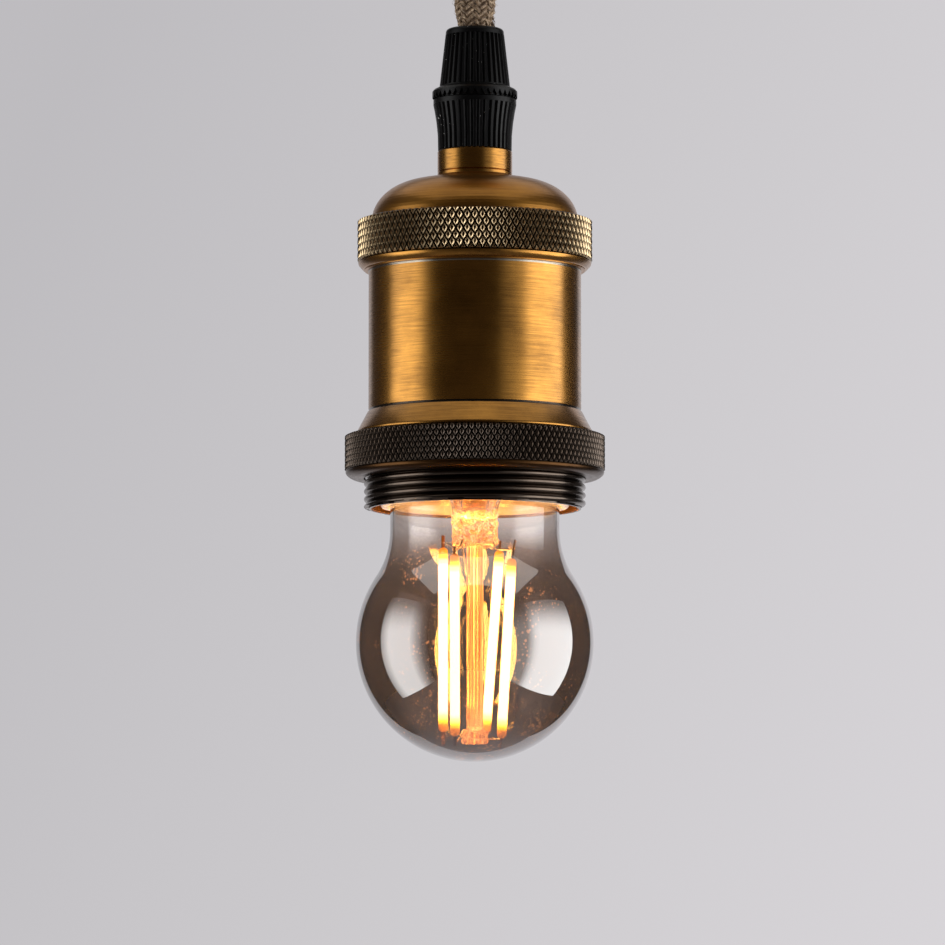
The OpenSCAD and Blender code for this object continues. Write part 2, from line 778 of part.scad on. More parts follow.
module base_insulator() {
    top = bulb_top_z - eyelet_h;
    foot = shell_top_z;
    color("black")
    turned([[0, top], [5.4, top], [6.6, top - 0.6], [insulator_r, foot + 0.4], [insulator_r, foot],
            [insulator_r - 1.8, foot], [insulator_r - 1.8, foot + 0.4], [5, top - 2], [0, top - 2]]);
}

module base_shell() {
    top_r = insulator_r + run_gap;
    color("silver")
    turned([[top_r, shell_top_z + 0.4], [top_r + cap_wall, shell_top_z + 0.6],
            [cap_r, shell_top_z - 0.8], [cap_r, cap_rim_z], [cap_r - cap_wall, cap_rim_z],
            [cap_r - cap_wall, shell_top_z - 0.9], [top_r, shell_top_z]]);
}

// Outline of the glass, drawn in by its wall for the inside
function glass_outline(inset) =
    let (n = glass_neck_r - inset, g = globe_r - inset, f = fillet_r + inset, top = glass_top_r - inset)
    concat(
        [[top, cap_rim_z + 6], [top, cap_rim_z - 0.2]],
        arc(top, shoulder_z, n - top, cap_rim_z - 0.2 - shoulder_z, 75, 0, 8),
        arc(glass_neck_r + fillet_r, fillet_z, f, f, 180, 180 + join_angle, 16),
        arc(0, globe_z, g, g, join_angle - 4, -88, 36),
        [[0, globe_z - g]]
    );

module glass_globe() {
    outside = glass_outline(0);
    inside = glass_outline(glass_wall);
    color("lightgray", 0.5)
    turned(concat(outside, [for (i = [len(inside) - 1 : -1 : 0]) inside[i]]));
}

module base_cement() {
    color("tan")
    washer(glass_top_r + 0.03, cap_r - cap_wall - run_gap, cap_rim_z + 0.6, cap_rim_z + 5.4);
}

module driver_board() {
    color("forestgreen")
    translate([-board_x, -board_t / 2, board_top_z - board_l]) cube([2 * board_x, board_t, board_l]);
}

module driver_parts() {
    z = board_top_z;
    color("dimgray")
    union() {
        translate([3.2, board_t / 2 + 3.2, z - 10]) cylinder(d = 6.3, h = 8.6);
        translate([-7.4, board_t / 2, z - 6.6]) cube([6, 2.4, 4.6]);
        translate([-6.4, board_t / 2, z - 11]) cube([3.6, 1.4, 2.6]);
    }
}

module glass_stem() {
    wall = 0.7;
    foot_rim_r = glass_top_r - glass_wall - 0.03;
    rim_z = cap_rim_z + 0.6;
    throat_z = stem_foot_z + 7;
    across = foot_rim_r - stem_r;
    rise = rim_z - throat_z;
    color("lightcyan", 0.6)
    turned(concat(
        arc(foot_rim_r, throat_z, across, rise, 92, 180, 10),
        arc(stem_r - 1, stem_foot_z + 1, 1, 1, 0, -90, 6),
        [[0, stem_foot_z], [0, stem_foot_z + 5], [stem_r - wall - 1, stem_foot_z + 5.6]],
        arc(foot_rim_r, throat_z, across + wall, rise + wall, 180, 92, 10)
    ));
}

module centre_rod() {
    round_r = bead_out - 0.1;
    color("lightcyan", 0.6)
    turned(concat(
        [[0, stem_foot_z - 0.02], [rod_r, stem_foot_z - 0.02], [rod_r, bead_foot_z + bead_h]],
        arc(rod_r + 0.1, bead_foot_z + bead_h / 2, round_r, bead_h / 2, 90, -90, 10),
        [[0, bead_foot_z]]
    ));
}

// Where stick i starts and ends
function stick_top(i) =
    [filament_top_r * cos(stick_turn[i]), filament_top_r * sin(stick_turn[i]), stick_top_z];
function stick_foot(i) =
    [filament_foot_r * cos(stick_foot_turn[i]), filament_foot_r * sin(stick_foot_turn[i]), stick_foot_z];

module filament(i) {
    color("orange") bar(stick_foot(i), stick_top(i), filament_d / 2, 24);
}
module filament_1() { filament(0); }
module filament_2() { filament(1); }
module filament_3() { filament(2); }
module filament_4() { filament(3); }

module tab(at, up, turn) {
    translate(at)
        rotate([0, 0, turn])
            translate([-tab_t / 2, -tab_w / 2, up ? 0.02 : -tab_l - 0.02])
                cube([tab_t, tab_w, tab_l]);
}

module filament_tabs() {
    color("silver")
    for (i = [0 : stick_count - 1]) {
        tab(stick_top(i), true, stick_turn[i]);
        tab(stick_foot(i), false, stick_foot_turn[i]);
    }
}

module upper_supports() {
    color("silver")
    for (i = [0 : stick_count - 1]) {
        a = stick_turn[i];
        outer = filament_top_r - tab_t / 2 - run_gap;
        bar([(stem_r + 0.08) * cos(a), (stem_r + 0.08) * sin(a), stem_foot_z + 1.4],
            [outer * cos(a), outer * sin(a), stem_foot_z + 0.5], wire_r);
    }
}

module lower_supports() {
    color("silver")
    for (i = [0 : stick_count - 1]) {
        a = stick_foot_turn[i];
        outer = filament_foot_r - tab_t / 2 - 0.02;
        inner = rod_r + bead_out + 0.02;
        bar([inner * cos(a), inner * sin(a), support_z],
            [outer * cos(a), outer * sin(a), support_z], wire_r);
    }
}

module lead_in_wires() {
    color("silver")
    for (side = [-1, 1])
        bar([side * 2.2, 0, stem_foot_z + 6], [side * 4.4, 0, board_top_z - board_l - 0.05], wire_r);
}

ceiling_cup();
ceiling_bracket();
cup_screws();
terminal_block();
terminal_screws();
cup_tube();
cup_locknut();
cup_cord_grip();
grip_side_screw();
cord_tail();
supply_cores();
cord();
grip_nut();
grip_ring();
grip_collar();
holder_tube();
neck_bush();
holder_locknut();
earth_tag();
dome_cap();
upper_ring();
live_core();
neutral_core();
earth_core();
body_sleeve();
shade_ring();
porcelain_core();
screw_shell();
live_terminal();
neutral_terminal();
core_terminal_screws();
contact_spring();
contact_tip();
base_contact();
base_insulator();
base_shell();
base_cement();
driver_board();
driver_parts();
glass_globe();
glass_stem();
centre_rod();
filament_1();
filament_2();
filament_3();
filament_4();
filament_tabs();
upper_supports();
lower_supports();
lead_in_wires();
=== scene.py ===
# %% [markdown]
# # A pendant lamp holder with a filament bulb
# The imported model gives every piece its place, in metres, with the ceiling at height zero and the
# lamp hanging down along -Z. This lesson loads that frame, sets up the studio, gives each packed
# piece a finish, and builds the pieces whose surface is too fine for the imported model: the braided
# cord, the knurled rings, the threads and the glass.

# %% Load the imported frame
import math
import random

import bmesh
import bpy
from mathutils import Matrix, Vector


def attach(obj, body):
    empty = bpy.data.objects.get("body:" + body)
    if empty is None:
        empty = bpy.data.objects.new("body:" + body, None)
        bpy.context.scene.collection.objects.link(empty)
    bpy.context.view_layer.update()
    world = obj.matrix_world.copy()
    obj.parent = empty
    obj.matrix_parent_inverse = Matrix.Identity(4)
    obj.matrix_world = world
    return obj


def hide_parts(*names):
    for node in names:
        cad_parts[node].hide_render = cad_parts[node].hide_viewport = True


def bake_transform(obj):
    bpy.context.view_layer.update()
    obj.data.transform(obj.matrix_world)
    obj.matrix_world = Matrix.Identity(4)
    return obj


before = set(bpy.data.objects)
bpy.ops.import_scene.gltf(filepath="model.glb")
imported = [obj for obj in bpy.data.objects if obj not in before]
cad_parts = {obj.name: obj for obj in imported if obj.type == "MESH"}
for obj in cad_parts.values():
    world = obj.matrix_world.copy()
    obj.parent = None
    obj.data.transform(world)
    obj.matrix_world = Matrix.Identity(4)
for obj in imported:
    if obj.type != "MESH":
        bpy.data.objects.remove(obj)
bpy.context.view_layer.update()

MM = 0.001
TINY = 1e-7  # lengths below this, in metres, count as none
scene = bpy.context.scene
scene.view_settings.view_transform = "Standard"

# %% [markdown]
# ## Camera
# The photograph was taken with a long lens from a little below the lamp, so that the round edges
# bow upwards and the mouth of the holder shows. A long lens 1.3 m away gives that mild view.

# %% The camera
bpy.ops.object.select_all(action="DESELECT")
bpy.ops.object.camera_add(location=(-0.00045, -1.2968, -0.3089), rotation=(math.radians(95.45), 0, 0))
camera = bpy.context.object
camera.name = "studio_camera"
camera.data.sensor_width = 36
camera.data.lens = 261
camera.data.clip_end = 20
scene.camera = camera
print("lens", camera.data.lens, "mm")

# %% [markdown]
# ## Cord
# The cord is a textile cable: a braid of natural yarn over the insulated wires. Sixteen strands run
# round it one way and sixteen the other, and each passes over two and under two, which gives the
# herringbone. A strand is a tube along a helix whose radius swings in and out, so the braid is
# written as numbers and made a mesh: no hand could place a thousand crossings.

# %% The cord's sizes, in millimetres
CUP_EXIT_Z, GRIP_TOP_Z = -43, -100
CORD_TAIL_TOP_Z, CORD_FOOT_Z = -16, -134.5
STRANDS, STRAND_SIDES = 16, 6
BRAID_LEAD, BRAID_R, BRAID_CORE_R = 19.8, 3.12, 2.62
STRAND_SWING, STRAND_HALF_W, STRAND_HALF_T = 0.32, 0.43, 0.34
FAN_ABOVE_GRIP, FAN_LENGTH, SQUEEZE_LENGTH = 5.5, 3.4, 2.6
FAN_SHARE, SQUEEZE_SHARE = 0.085, 0.16
HAIR_R, TUFT_HALF_W, TUFT_HALF_T = 0.028, 0.1, 0.06
yarn_dice = random.Random(7)


# %% A strand of the braid
def strand_centre(z, top_z, number, way, swell):
    """The middle of one strand at height z. The strands of the two ways meet every half step."""
    down = top_z - z
    crossing = 2 * STRANDS * down / BRAID_LEAD
    angle = way * 2 * math.pi * down / BRAID_LEAD + 2 * math.pi * number / STRANDS
    shift = crossing + 2 * number if way > 0 else 2 * number - crossing
    radius = (BRAID_R + way * STRAND_SWING * math.cos(math.pi * (shift - 0.5) / 2)) * swell(z)
    return Vector((radius * math.cos(angle), radius * math.sin(angle), z)) * MM


def yarn_tube(made, yarn_map, points, across, width, thick, step, shade):
    """A tube of oval section along the points. Its yarn map runs along and round it."""
    rings = []
    for i, point in enumerate(points):
        along = (points[min(i + 1, len(points) - 1)] - points[max(i - 1, 0)]).normalized()
        out = Vector((point.x, point.y, 0)).normalized() if across else Vector((1, 0, 0))
        side = along.cross(out).normalized()
        out = side.cross(along)
        turns = [2 * math.pi * k / STRAND_SIDES for k in range(STRAND_SIDES)]
        rings.append([made.verts.new(point + (side * width * math.cos(t) + out * thick * math.sin(t)) * MM)
                      for t in turns])
    for i in range(len(rings) - 1):
        for k in range(STRAND_SIDES):
            after = (k + 1) % STRAND_SIDES
            face = made.faces.new((rings[i][k], rings[i][after], rings[i + 1][after], rings[i + 1][k]))
            face.smooth = True
            for loop, (u, v) in zip(face.loops, ((i, k), (i, k + 1), (i + 1, k + 1), (i + 1, k))):
                loop[yarn_map].uv = (u * step + shade * 37, v / STRAND_SIDES)
    made.faces.new(list(reversed(rings[0])))
    made.faces.new(rings[-1])


def braid(name, top_z, foot_z, step, swell=lambda z: 1, hairs=0, tuft=0):
    """A braided sleeve with a core tube inside it, as one mesh with yarn coordinates."""
    made = bmesh.new()
    yarn_map = made.loops.layers.uv.new("yarn")
    count = max(2, round((top_z - foot_z) / step))
    heights = [top_z + (foot_z - top_z) * i / count for i in range(count + 1)]
    for way in (1, -1):
        for number in range(STRANDS):
            points = [strand_centre(z, top_z, number, way, swell) for z in heights]
            yarn_tube(made, yarn_map, points, True, STRAND_HALF_W, STRAND_HALF_T, step, number + (way > 0) * 0.5)
    points = [Vector((0, 0, z)) * MM for z in heights[::4] + heights[-1:]]
    yarn_tube(made, yarn_map, points, False, BRAID_CORE_R, BRAID_CORE_R, step, 0)
    for _ in range(hairs):
        z = yarn_dice.uniform(foot_z + 0.3, top_z - 0.3)
        turn = yarn_dice.uniform(0, 2 * math.pi)
        lean = yarn_dice.uniform(-0.8, 0.8)
        reach = yarn_dice.uniform(0.25, 0.9)
        droop = yarn_dice.uniform(-0.9, 0.7)
        points = []
        for share in (0, 0.35, 0.7, 1):
            radius = (BRAID_R + 0.3 + reach * share) * swell(z)
            spot = turn + lean * share * 0.25
            points.append(Vector((radius * math.cos(spot), radius * math.sin(spot), z + droop * share * share)) * MM)
        yarn_tube(made, yarn_map, points, False, HAIR_R, HAIR_R, step, yarn_dice.randrange(STRANDS))
    for i in range(tuft):
        z = foot_z + 0.6 + 0.11 * i
        out, droop = 0.5 + 0.35 * abs(math.sin(1.7 * i)), 0.9 * math.cos(2.1 * i) - 0.6
        points = [Vector((BRAID_R - 0.1 + out * share, 0.9 * math.sin(2.6 * i) * share,
                          z + droop * share * share)) * MM for share in (0, 0.4, 0.75, 1)]
        yarn_tube(made, yarn_map, points, False, TUFT_HALF_W, TUFT_HALF_T, step, 3 * i)
    mesh = bpy.data.meshes.new(name)
    bmesh.ops.recalc_face_normals(made, faces=made.faces)
    made.to_mesh(mesh)
    made.free()
    piece = bpy.data.objects.new(name, mesh)
    scene.collection.objects.link(piece)
    print(name, len(mesh.polygons), "faces")
    return piece


# %% The free cord and its hidden ends
def enter(piece, node, slot, body, *looks):
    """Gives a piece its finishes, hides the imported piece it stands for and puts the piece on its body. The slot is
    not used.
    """
    for look in looks:
        piece.data.materials.append(look)
    if node:
        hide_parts(node)
    if body:
        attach(piece, body)


def squeezed(z):
    """The braid fans out a little above the grip's mouth, where the grip holds it tight."""
    near = math.exp(-((z - GRIP_TOP_Z - FAN_ABOVE_GRIP) / FAN_LENGTH) ** 2)
    tight = math.exp(-((z - GRIP_TOP_Z) / SQUEEZE_LENGTH) ** 2)
    return 1 + FAN_SHARE * near - SQUEEZE_SHARE * tight


cord_braid = braid("cord_braid", CUP_EXIT_Z, GRIP_TOP_Z, 0.31, squeezed, hairs=260, tuft=18)
cord_end_in_cup = braid("cord_end_in_cup", CORD_TAIL_TOP_Z, CUP_EXIT_Z, 0.6)
cord_end_in_holder = braid("cord_end_in_holder", GRIP_TOP_Z, CORD_FOOT_Z, 0.6, lambda z: 0.96)
enter(cord_braid, "cord", "cord_braid", None)
enter(cord_end_in_cup, "cord_tail", "cord_braid", "ceiling_fitting")
enter(cord_end_in_holder, None, "cord_braid", "pendant")
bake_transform(cord_braid)

# %% [markdown]
# ## Studio
# Two tall soft panels stand left and right of the lamp. A turned cylinder shows each as one bright
# column, with the dark room in front between them. Each panel is bright at its rear and fades
# towards the camera. A dim sheet overhead lights the dome's crown. A pale wall far behind gives
# the background.


# %% Helpers for shader nodes
NODE_STEP, NODES_IN_ROW = 220, 8


def fill(tree, node, *values, **sockets):
    """Feeds a node's sockets, in order or by name with _ for a space, with plain values or outputs."""
    named = [(node.inputs[key.replace("_", " ")], value) for key, value in sockets.items()]
    for socket, value in [*zip(node.inputs, values), *named]:
        if isinstance(value, bpy.types.NodeSocket):
            tree.links.new(value, socket)
        elif socket.type == "RGBA" and len(value) == 3:
            socket.default_value = (*value, 1)
        else:
            socket.default_value = value


def add_node(tree, kind, *values, out=0, **named):
    """Adds a node and returns one output. A lower-case name is a setting, and any other a socket."""
    row, column = divmod(len(tree.nodes), NODES_IN_ROW)
    node = tree.nodes.new("ShaderNode" + kind)
    node.location = (column * NODE_STEP, -1.5 * row * NODE_STEP)
    for key in [key for key in named if key.islower()]:
        setattr(node, key, named.pop(key))
    fill(tree, node, *values, **named)
    return node.outputs[out]


def maths(tree, operation, *values):
    return add_node(tree, "Math", *values, operation=operation)


def noise(tree, place, **values):
    return add_node(tree, "TexNoise", out="Fac", Vector=place, **values)


def mix(tree, **values):
    return add_node(tree, "Mix", out="Result", data_type="RGBA", **values)


def own_place(tree):
    return add_node(tree, "TexCoord", out="Object")


def own_axes(tree):
    """The object's own coordinates, apart as X, Y and Z."""
    return add_node(tree, "SeparateXYZ", own_place(tree)).node.outputs


def ramp(tree, value, stops):
    """A colour ramp with its stops at the given places."""
    colours = add_node(tree, "ValToRGB", value)
    marks = colours.node.color_ramp.elements
    while len(marks) < len(stops):
        marks.new(0.5)
    for mark, (place, colour) in zip(marks, stops):
        mark.position, mark.color = place, (*colour, 1)
    return colours


def map_range(tree, value, low, high, to_low=0, to_high=1, smooth=False):
    return add_node(tree, "MapRange", value, low, high, to_low, to_high,
                    interpolation_type="SMOOTHSTEP" if smooth else "LINEAR")


def new_material(name):
    material = bpy.data.materials.new(name)
    material.use_nodes = True
    return material, material.node_tree, material.node_tree.nodes["Principled BSDF"]


# %% Wall, floor and world
def add_piece(name, add, scale=(1, 1, 1), **values):
    """Adds a primitive with nothing else selected, names it, and applies its place and scale."""
    bpy.ops.object.select_all(action="DESELECT")
    add(**values)
    piece = bpy.context.object
    piece.name = piece.data.name = name
    piece.scale = scale
    bpy.ops.object.transform_apply(location=True, rotation=True, scale=True)
    return piece


def stage_plane(name, width, depth, location, rotation, look):
    sheet = add_piece(name, bpy.ops.mesh.primitive_plane_add, (width, depth, 1), size=1, location=location,
                      rotation=rotation)
    sheet.data.materials.append(look)
    return sheet


WALL_GREYS = (0.515, 0.503, 0.524), (0.60, 0.585, 0.605), (0.68, 0.66, 0.685)
UPRIGHT = (math.radians(90), 0, 0)
wall_look, tree, shader = new_material("pale_wall")
x, y, z = own_axes(tree)
spread = map_range(tree, maths(tree, "MULTIPLY_ADD", z, -0.45, x), -0.36, 0.36)
fill(tree, shader, Emission_Color=ramp(tree, spread, list(zip((0, 0.5, 1), WALL_GREYS))),
     Base_Color=(0, 0, 0), Emission_Strength=1, Roughness=1, Specular_IOR_Level=0)
stage_plane("studio_wall", 3, 5.4, (0, 2.6, -1.1), UPRIGHT, wall_look)

floor_look, tree, shader = new_material("pale_floor")
fill(tree, shader, Base_Color=(0.72, 0.70, 0.72), Roughness=0.8)
stage_plane("studio_floor", 8, 8, (0, 0, -2.6), (0, 0, 0), floor_look)

world = bpy.data.worlds.new("studio_room")
scene.world = world
world.use_nodes = True
tree = world.node_tree
ray = add_node(tree, "LightPath").node.outputs
seen = maths(tree, "MAXIMUM", ray["Is Camera Ray"], ray["Is Transmission Ray"])
fill(tree, tree.nodes["Background"], Color=mix(tree, Factor=seen, A=(0.055, 0.047, 0.043), B=WALL_GREYS[1]))
print("wall, floor and world made")

# %% The soft panels
PANEL_TALL, PANEL_Z, PANEL_AWAY = 1.62, -0.335, 1.1


def panel_of_light(name, width, depth, location, rotation, colour, strength_of):
    """A stage plane that the camera doesn't see, with a glow that strength_of(tree) gives."""
    look, tree, _ = new_material(name + "_light")
    fill(tree, tree.nodes["Material Output"],
         Surface=add_node(tree, "Emission", Color=colour, Strength=strength_of(tree)))
    panel = stage_plane(name, width, depth, location, rotation, look)
    panel.visible_camera = False
    print(name, [round(v, 2) for v in panel.data.vertices[0].co])


def soft_panel(name, side, turn, width, strength, steps):
    """A panel beside the lamp. steps are (place along Y, share of the strength), front to back."""
    front, rear = steps[0][0], steps[-1][0]

    def strength_of(tree):
        x, y, z = own_axes(tree)
        back = ramp(tree, map_range(tree, y, front, rear),
                    [((place - front) / (rear - front), (share,) * 3) for place, share in steps])
        top = map_range(tree, z, 0.47, -0.10, 0.12, 1, smooth=True)
        return maths(tree, "MULTIPLY", maths(tree, "MULTIPLY", back, top), strength)

    angle = math.radians(turn)
    panel_of_light(name, width, PANEL_TALL,
                   (side * PANEL_AWAY * math.sin(angle), -PANEL_AWAY * math.cos(angle), PANEL_Z),
                   (UPRIGHT[0], 0, side * angle), (1, 1, 1), strength_of)


soft_panel("left_panel", side=-1, turn=74, width=1.2, strength=2.6,
           steps=[(-0.88, 0), (-0.73, 0.13), (-0.586, 0.5), (-0.45, 1), (0.02, 1), (0.27, 0.4)])
soft_panel("right_panel", side=1, turn=66, width=2, strength=3.3,
           steps=[(-1.36, 0), (-1.03, 0.15), (-0.70, 0.24), (-0.55, 0.85), (-0.46, 1), (0.5, 1)])
panel_of_light("top_panel", 2.6, 2.6, (0, 0.2, 1.25), (math.pi, 0, 0), (1, 0.98, 0.95), lambda tree: 0.75)

# %% [markdown]
# ## Shared effects
# Several metals on the lamp were finished on a lathe, so they share one pattern of fine lines that
# run round the axis. It reads the object's own coordinates: the lines step with the radius less the
# height, which follows a cylinder, a dome and a flat face alike. Patina and dust are groups too.


# %% A group for the lines that a lathe leaves
def new_group(name, inputs, output):
    group = bpy.data.node_groups.new(name, "ShaderNodeTree")
    for label, value in inputs:
        socket = group.interface.new_socket(label, in_out="INPUT", socket_type="NodeSocketFloat")
        socket.default_value = value
    group.interface.new_socket(output, in_out="OUTPUT", socket_type="NodeSocketFloat")
    return group, group.nodes.new("NodeGroupInput").outputs, group.nodes.new("NodeGroupOutput")


def from_axis(tree, x, y):
    """The part of a place that lies across the axis, and its distance from the axis."""
    flat = add_node(tree, "CombineXYZ", x, y)
    return flat, add_node(tree, "VectorMath", flat, operation="LENGTH", out="Value")


lathe_lines, start, end = new_group("lathe_lines", [("Lines per mm", 3), ("Streaks per turn", 5)], "Lines")
tree = lathe_lines
x, y, z = own_axes(tree)
flat, radius = from_axis(tree, x, y)
per_metre = maths(tree, "MULTIPLY", start["Lines per mm"], 1 / MM)
across = maths(tree, "MULTIPLY", maths(tree, "SUBTRACT", radius, z), per_metre)
turn = add_node(tree, "VectorMath", flat, operation="NORMALIZE")
around = add_node(tree, "VectorMath", turn, operation="SCALE", Scale=start["Streaks per turn"])
spot = add_node(tree, "VectorMath", around, add_node(tree, "CombineXYZ", Z=across), operation="ADD")
fill(tree, end, Lines=noise(tree, spot, Scale=1, Detail=4, Roughness=0.65))

# %% A group for cloudy patina, and one for specks of dust
patina, start, end = new_group("patina", [("Clouds per m", 90)], "Patina")
clouds = noise(patina, own_place(patina), Scale=start["Clouds per m"], Detail=5, Roughness=0.6)
fill(patina, end, Patina=clouds)

specks, start, end = new_group("specks", [("Specks per m", 900), ("Size", 0.08)], "Specks")
place = own_place(specks)
cells = add_node(specks, "TexVoronoi", out="Distance", Vector=place, Scale=start["Specks per m"])
rare = map_range(specks, noise(specks, place, Scale=140, Detail=2), 0.5, 0.75)
limit = maths(specks, "MULTIPLY", start["Size"], rare)
fill(specks, end, Specks=maths(specks, "LESS_THAN", cells, limit))
print("groups", [g.name for g in bpy.data.node_groups])

# %% [markdown]
# ## Metals
# The brass is an aged, lacquered sheet: brown where the patina stayed, warmer where the brush has
# opened it. The lathe lines change its colour and roughness a little and its height by microns,
# which draws each highlight out into a column of fine streaks.


# %% Turned metals
def use_group(tree, group, **values):
    return add_node(tree, "Group", node_tree=group, **values)


def bump(tree, height, distance, strength=1):
    return add_node(tree, "Bump", Height=height, Distance=distance, Strength=strength)


def turned_metal(name, dark, bright, rough, lines=3, streaks=5, depth=4e-6, coat=0, coat_ior=1.5,
                 spread=(0.3, 0.7)):
    """A lathe-turned metal from dark patina to bright brushed lines."""
    material, tree, shader = new_material(name)
    cut = use_group(tree, lathe_lines, Lines_per_mm=lines, Streaks_per_turn=streaks)
    tone = maths(tree, "MULTIPLY_ADD", use_group(tree, patina), 0.55, maths(tree, "MULTIPLY", cut, 0.45))
    fill(tree, shader, Base_Color=ramp(tree, tone, list(zip(spread, (dark, bright)))),
         Roughness=map_range(tree, cut, 0.3, 0.7, rough + 0.06, rough - 0.05), Normal=bump(tree, cut, depth),
         Metallic=1, Coat_Weight=coat, Coat_Roughness=0.22, Coat_IOR=coat_ior)
    return material


aged_brass = turned_metal("aged_brass", (0.19, 0.080, 0.008), (0.50, 0.228, 0.034), 0.25, lines=4, streaks=2.5,
                          depth=5e-6, coat=0.3, coat_ior=1.6, spread=(0.36, 0.64))
dome_brass = turned_metal("dome_brass", (0.22, 0.090, 0.010), (0.46, 0.205, 0.030), 0.33, lines=4, streaks=2.5,
                          depth=5e-6, coat=0.25, coat_ior=1.6)
plain_steel = turned_metal("plain_steel", (0.42, 0.41, 0.40), (0.62, 0.61, 0.60), 0.38, lines=2)
nickel_plate = turned_metal("nickel_plate", (0.58, 0.55, 0.50), (0.74, 0.71, 0.66), 0.22, lines=2, depth=2e-6)
contact_metal = turned_metal("contact_metal", (0.55, 0.36, 0.12), (0.80, 0.58, 0.24), 0.30, lines=2)
tin_solder = turned_metal("tin_solder", (0.50, 0.50, 0.50), (0.70, 0.70, 0.69), 0.35, lines=0.8, depth=2e-5)
lip_bronze = turned_metal("lip_bronze", (0.035, 0.016, 0.006), (0.09, 0.042, 0.015), 0.3, lines=2)
dark_bronze = turned_metal("dark_bronze", (0.045, 0.032, 0.024), (0.130, 0.098, 0.075), 0.2, lines=1.2,
                           depth=2e-6, coat=0.2)
raw_brass = turned_metal("raw_brass", (0.16, 0.06, 0.012), (0.30, 0.13, 0.03), 0.55)
bright_edge = turned_metal("bright_edge", (0.22, 0.19, 0.15), (0.42, 0.38, 0.32), 0.2, depth=1e-6)
print("metals", [m.name for m in bpy.data.materials])

# %% [markdown]
# ## Plastics, porcelain and the rest
# The cord grip is black moulded plastic with a fine grain, a low gloss and a little dust. Porcelain,
# glass, cement and the parts inside share its recipe with other numbers. The porcelain's tan tint is
# partly its glaze and partly painted light, and near the sticks it has a painted orange glow.


# %% Moulded and fired finishes
def moulded(name, colour, rough, dust=0, grain_depth=6e-6, grain=2500, coat=0, specular=0.5):
    material, tree, shader = new_material(name)
    grit = noise(tree, own_place(tree), Scale=grain, Detail=3)
    deep, light = tuple(c * 0.75 for c in colour), tuple(min(1, c * 1.15) for c in colour)
    tones = ramp(tree, use_group(tree, patina, Clouds_per_m=160), [(0.35, deep), (0.65, light)])
    if dust:
        dots = use_group(tree, specks, Specks_per_m=1100, Size=dust)
        tones = mix(tree, Factor=dots, A=tones, B=(0.5, 0.49, 0.48))
    fill(tree, shader, Base_Color=tones, Roughness=map_range(tree, grit, 0.3, 0.7, rough - 0.06, rough + 0.06),
         Normal=bump(tree, grit, grain_depth), Coat_Weight=coat, Coat_Roughness=0.08, Specular_IOR_Level=specular)
    return material


black_plastic = moulded("black_plastic", (0.003, 0.0029, 0.0033), 0.36, dust=0.2, specular=0.17)
ivory_plastic = moulded("ivory_plastic", (0.78, 0.74, 0.64), 0.42)
# Painted light: the porcelain's tan is partly its glaze and partly warmed towards the sticks' orange light.
porcelain = moulded("porcelain", (0.66, 0.54, 0.38), 0.30, grain_depth=1.5e-5, grain=500, coat=0.6)
black_glass = moulded("black_glass", (0.008, 0.008, 0.010), 0.12, grain_depth=1e-5, grain=400)
cement = moulded("cement", (0.55, 0.50, 0.42), 0.85, grain_depth=5e-5, grain=1500)
board_green = moulded("board_green", (0.03, 0.16, 0.06), 0.4)
part_grey = moulded("part_grey", (0.10, 0.10, 0.11), 0.45)

tree = porcelain.node_tree
# Painted glow: an orange emission at the porcelain's foot, by height, stands for the sticks' light on it.
painted_glow_share = map_range(tree, own_axes(tree)[2], -0.1875, -0.1895)
fill(tree, tree.nodes["Principled BSDF"], Emission_Strength=0.16,
     Emission_Color=ramp(tree, painted_glow_share, [(0, (0, 0, 0)), (1, (1, 0.36, 0.06))]))
print("finishes", len(bpy.data.materials))

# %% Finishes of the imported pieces
FINISHES = (
    (aged_brass, "ceiling_cup cup_screws neck_bush"), (dome_brass, "dome_cap"),
    (plain_steel, "ceiling_bracket cup_tube cup_locknut holder_tube holder_locknut core_terminal_screws"),
    (contact_metal, "terminal_screws earth_tag live_terminal neutral_terminal contact_spring"),
    (nickel_plate, "contact_tip lead_in_wires"), (tin_solder, "base_contact"),
    (black_plastic, "grip_nut grip_ring grip_collar cup_cord_grip grip_side_screw"),
    (ivory_plastic, "terminal_block"), (porcelain, "porcelain_core"), (black_glass, "base_insulator"),
    (cement, "base_cement"), (board_green, "driver_board"), (part_grey, "driver_parts"))
for look, names in FINISHES:
    for name in names.split():
        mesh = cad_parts[name].data
        if not mesh.materials:
            mesh.materials.append(look)
        for index in range(len(mesh.materials)):
            mesh.materials[index] = look
    print(look.name, "on", names)

# %% The braid's yarn
yarn_look, tree, shader = new_material("hemp_yarn")
laid = add_node(tree, "Mapping", add_node(tree, "UVMap", uv_map="yarn"), Scale=(1.6, 5, 1), Rotation=(0, 0, 0.5))
fibre = noise(tree, laid, Scale=1, Detail=4, Roughness=0.7)
twist = add_node(tree, "TexWave", out="Fac", Vector=laid, Scale=0.9, Distortion=2.5, Detail=2)
tones = ramp(tree, fibre, [(0.32, (0.05, 0.025, 0.011)), (0.50, (0.25, 0.155, 0.085)), (0.66, (0.85, 0.64, 0.42))])
fill(tree, shader, Base_Color=tones, Normal=bump(tree, twist, 6e-5, 0.8), Roughness=0.45, Sheen_Weight=0.15)
for piece in (cord_braid, cord_end_in_cup, cord_end_in_holder):
    piece.data.materials.append(yarn_look)
print("yarn done")

# %% [markdown]
# ## Turned pieces
# A spun or turned piece is drawn as half a section and spun round the axis, as on the lathe. A
# single vertex is extruded through the section's points, and Spin carries it round. Doubles are
# merged where the ends of the turn and the poles meet, and the normals are recalculated after.


# %% Section, spin and shading
def mode(name):
    bpy.ops.object.mode_set(mode=name)


def select_all():
    bpy.ops.mesh.select_all(action="SELECT")


def extrude(across, up):
    """Extrudes what is selected, in millimetres."""
    bpy.ops.mesh.extrude_region_move(TRANSFORM_OT_translate={"value": (across * MM, 0, up * MM)})


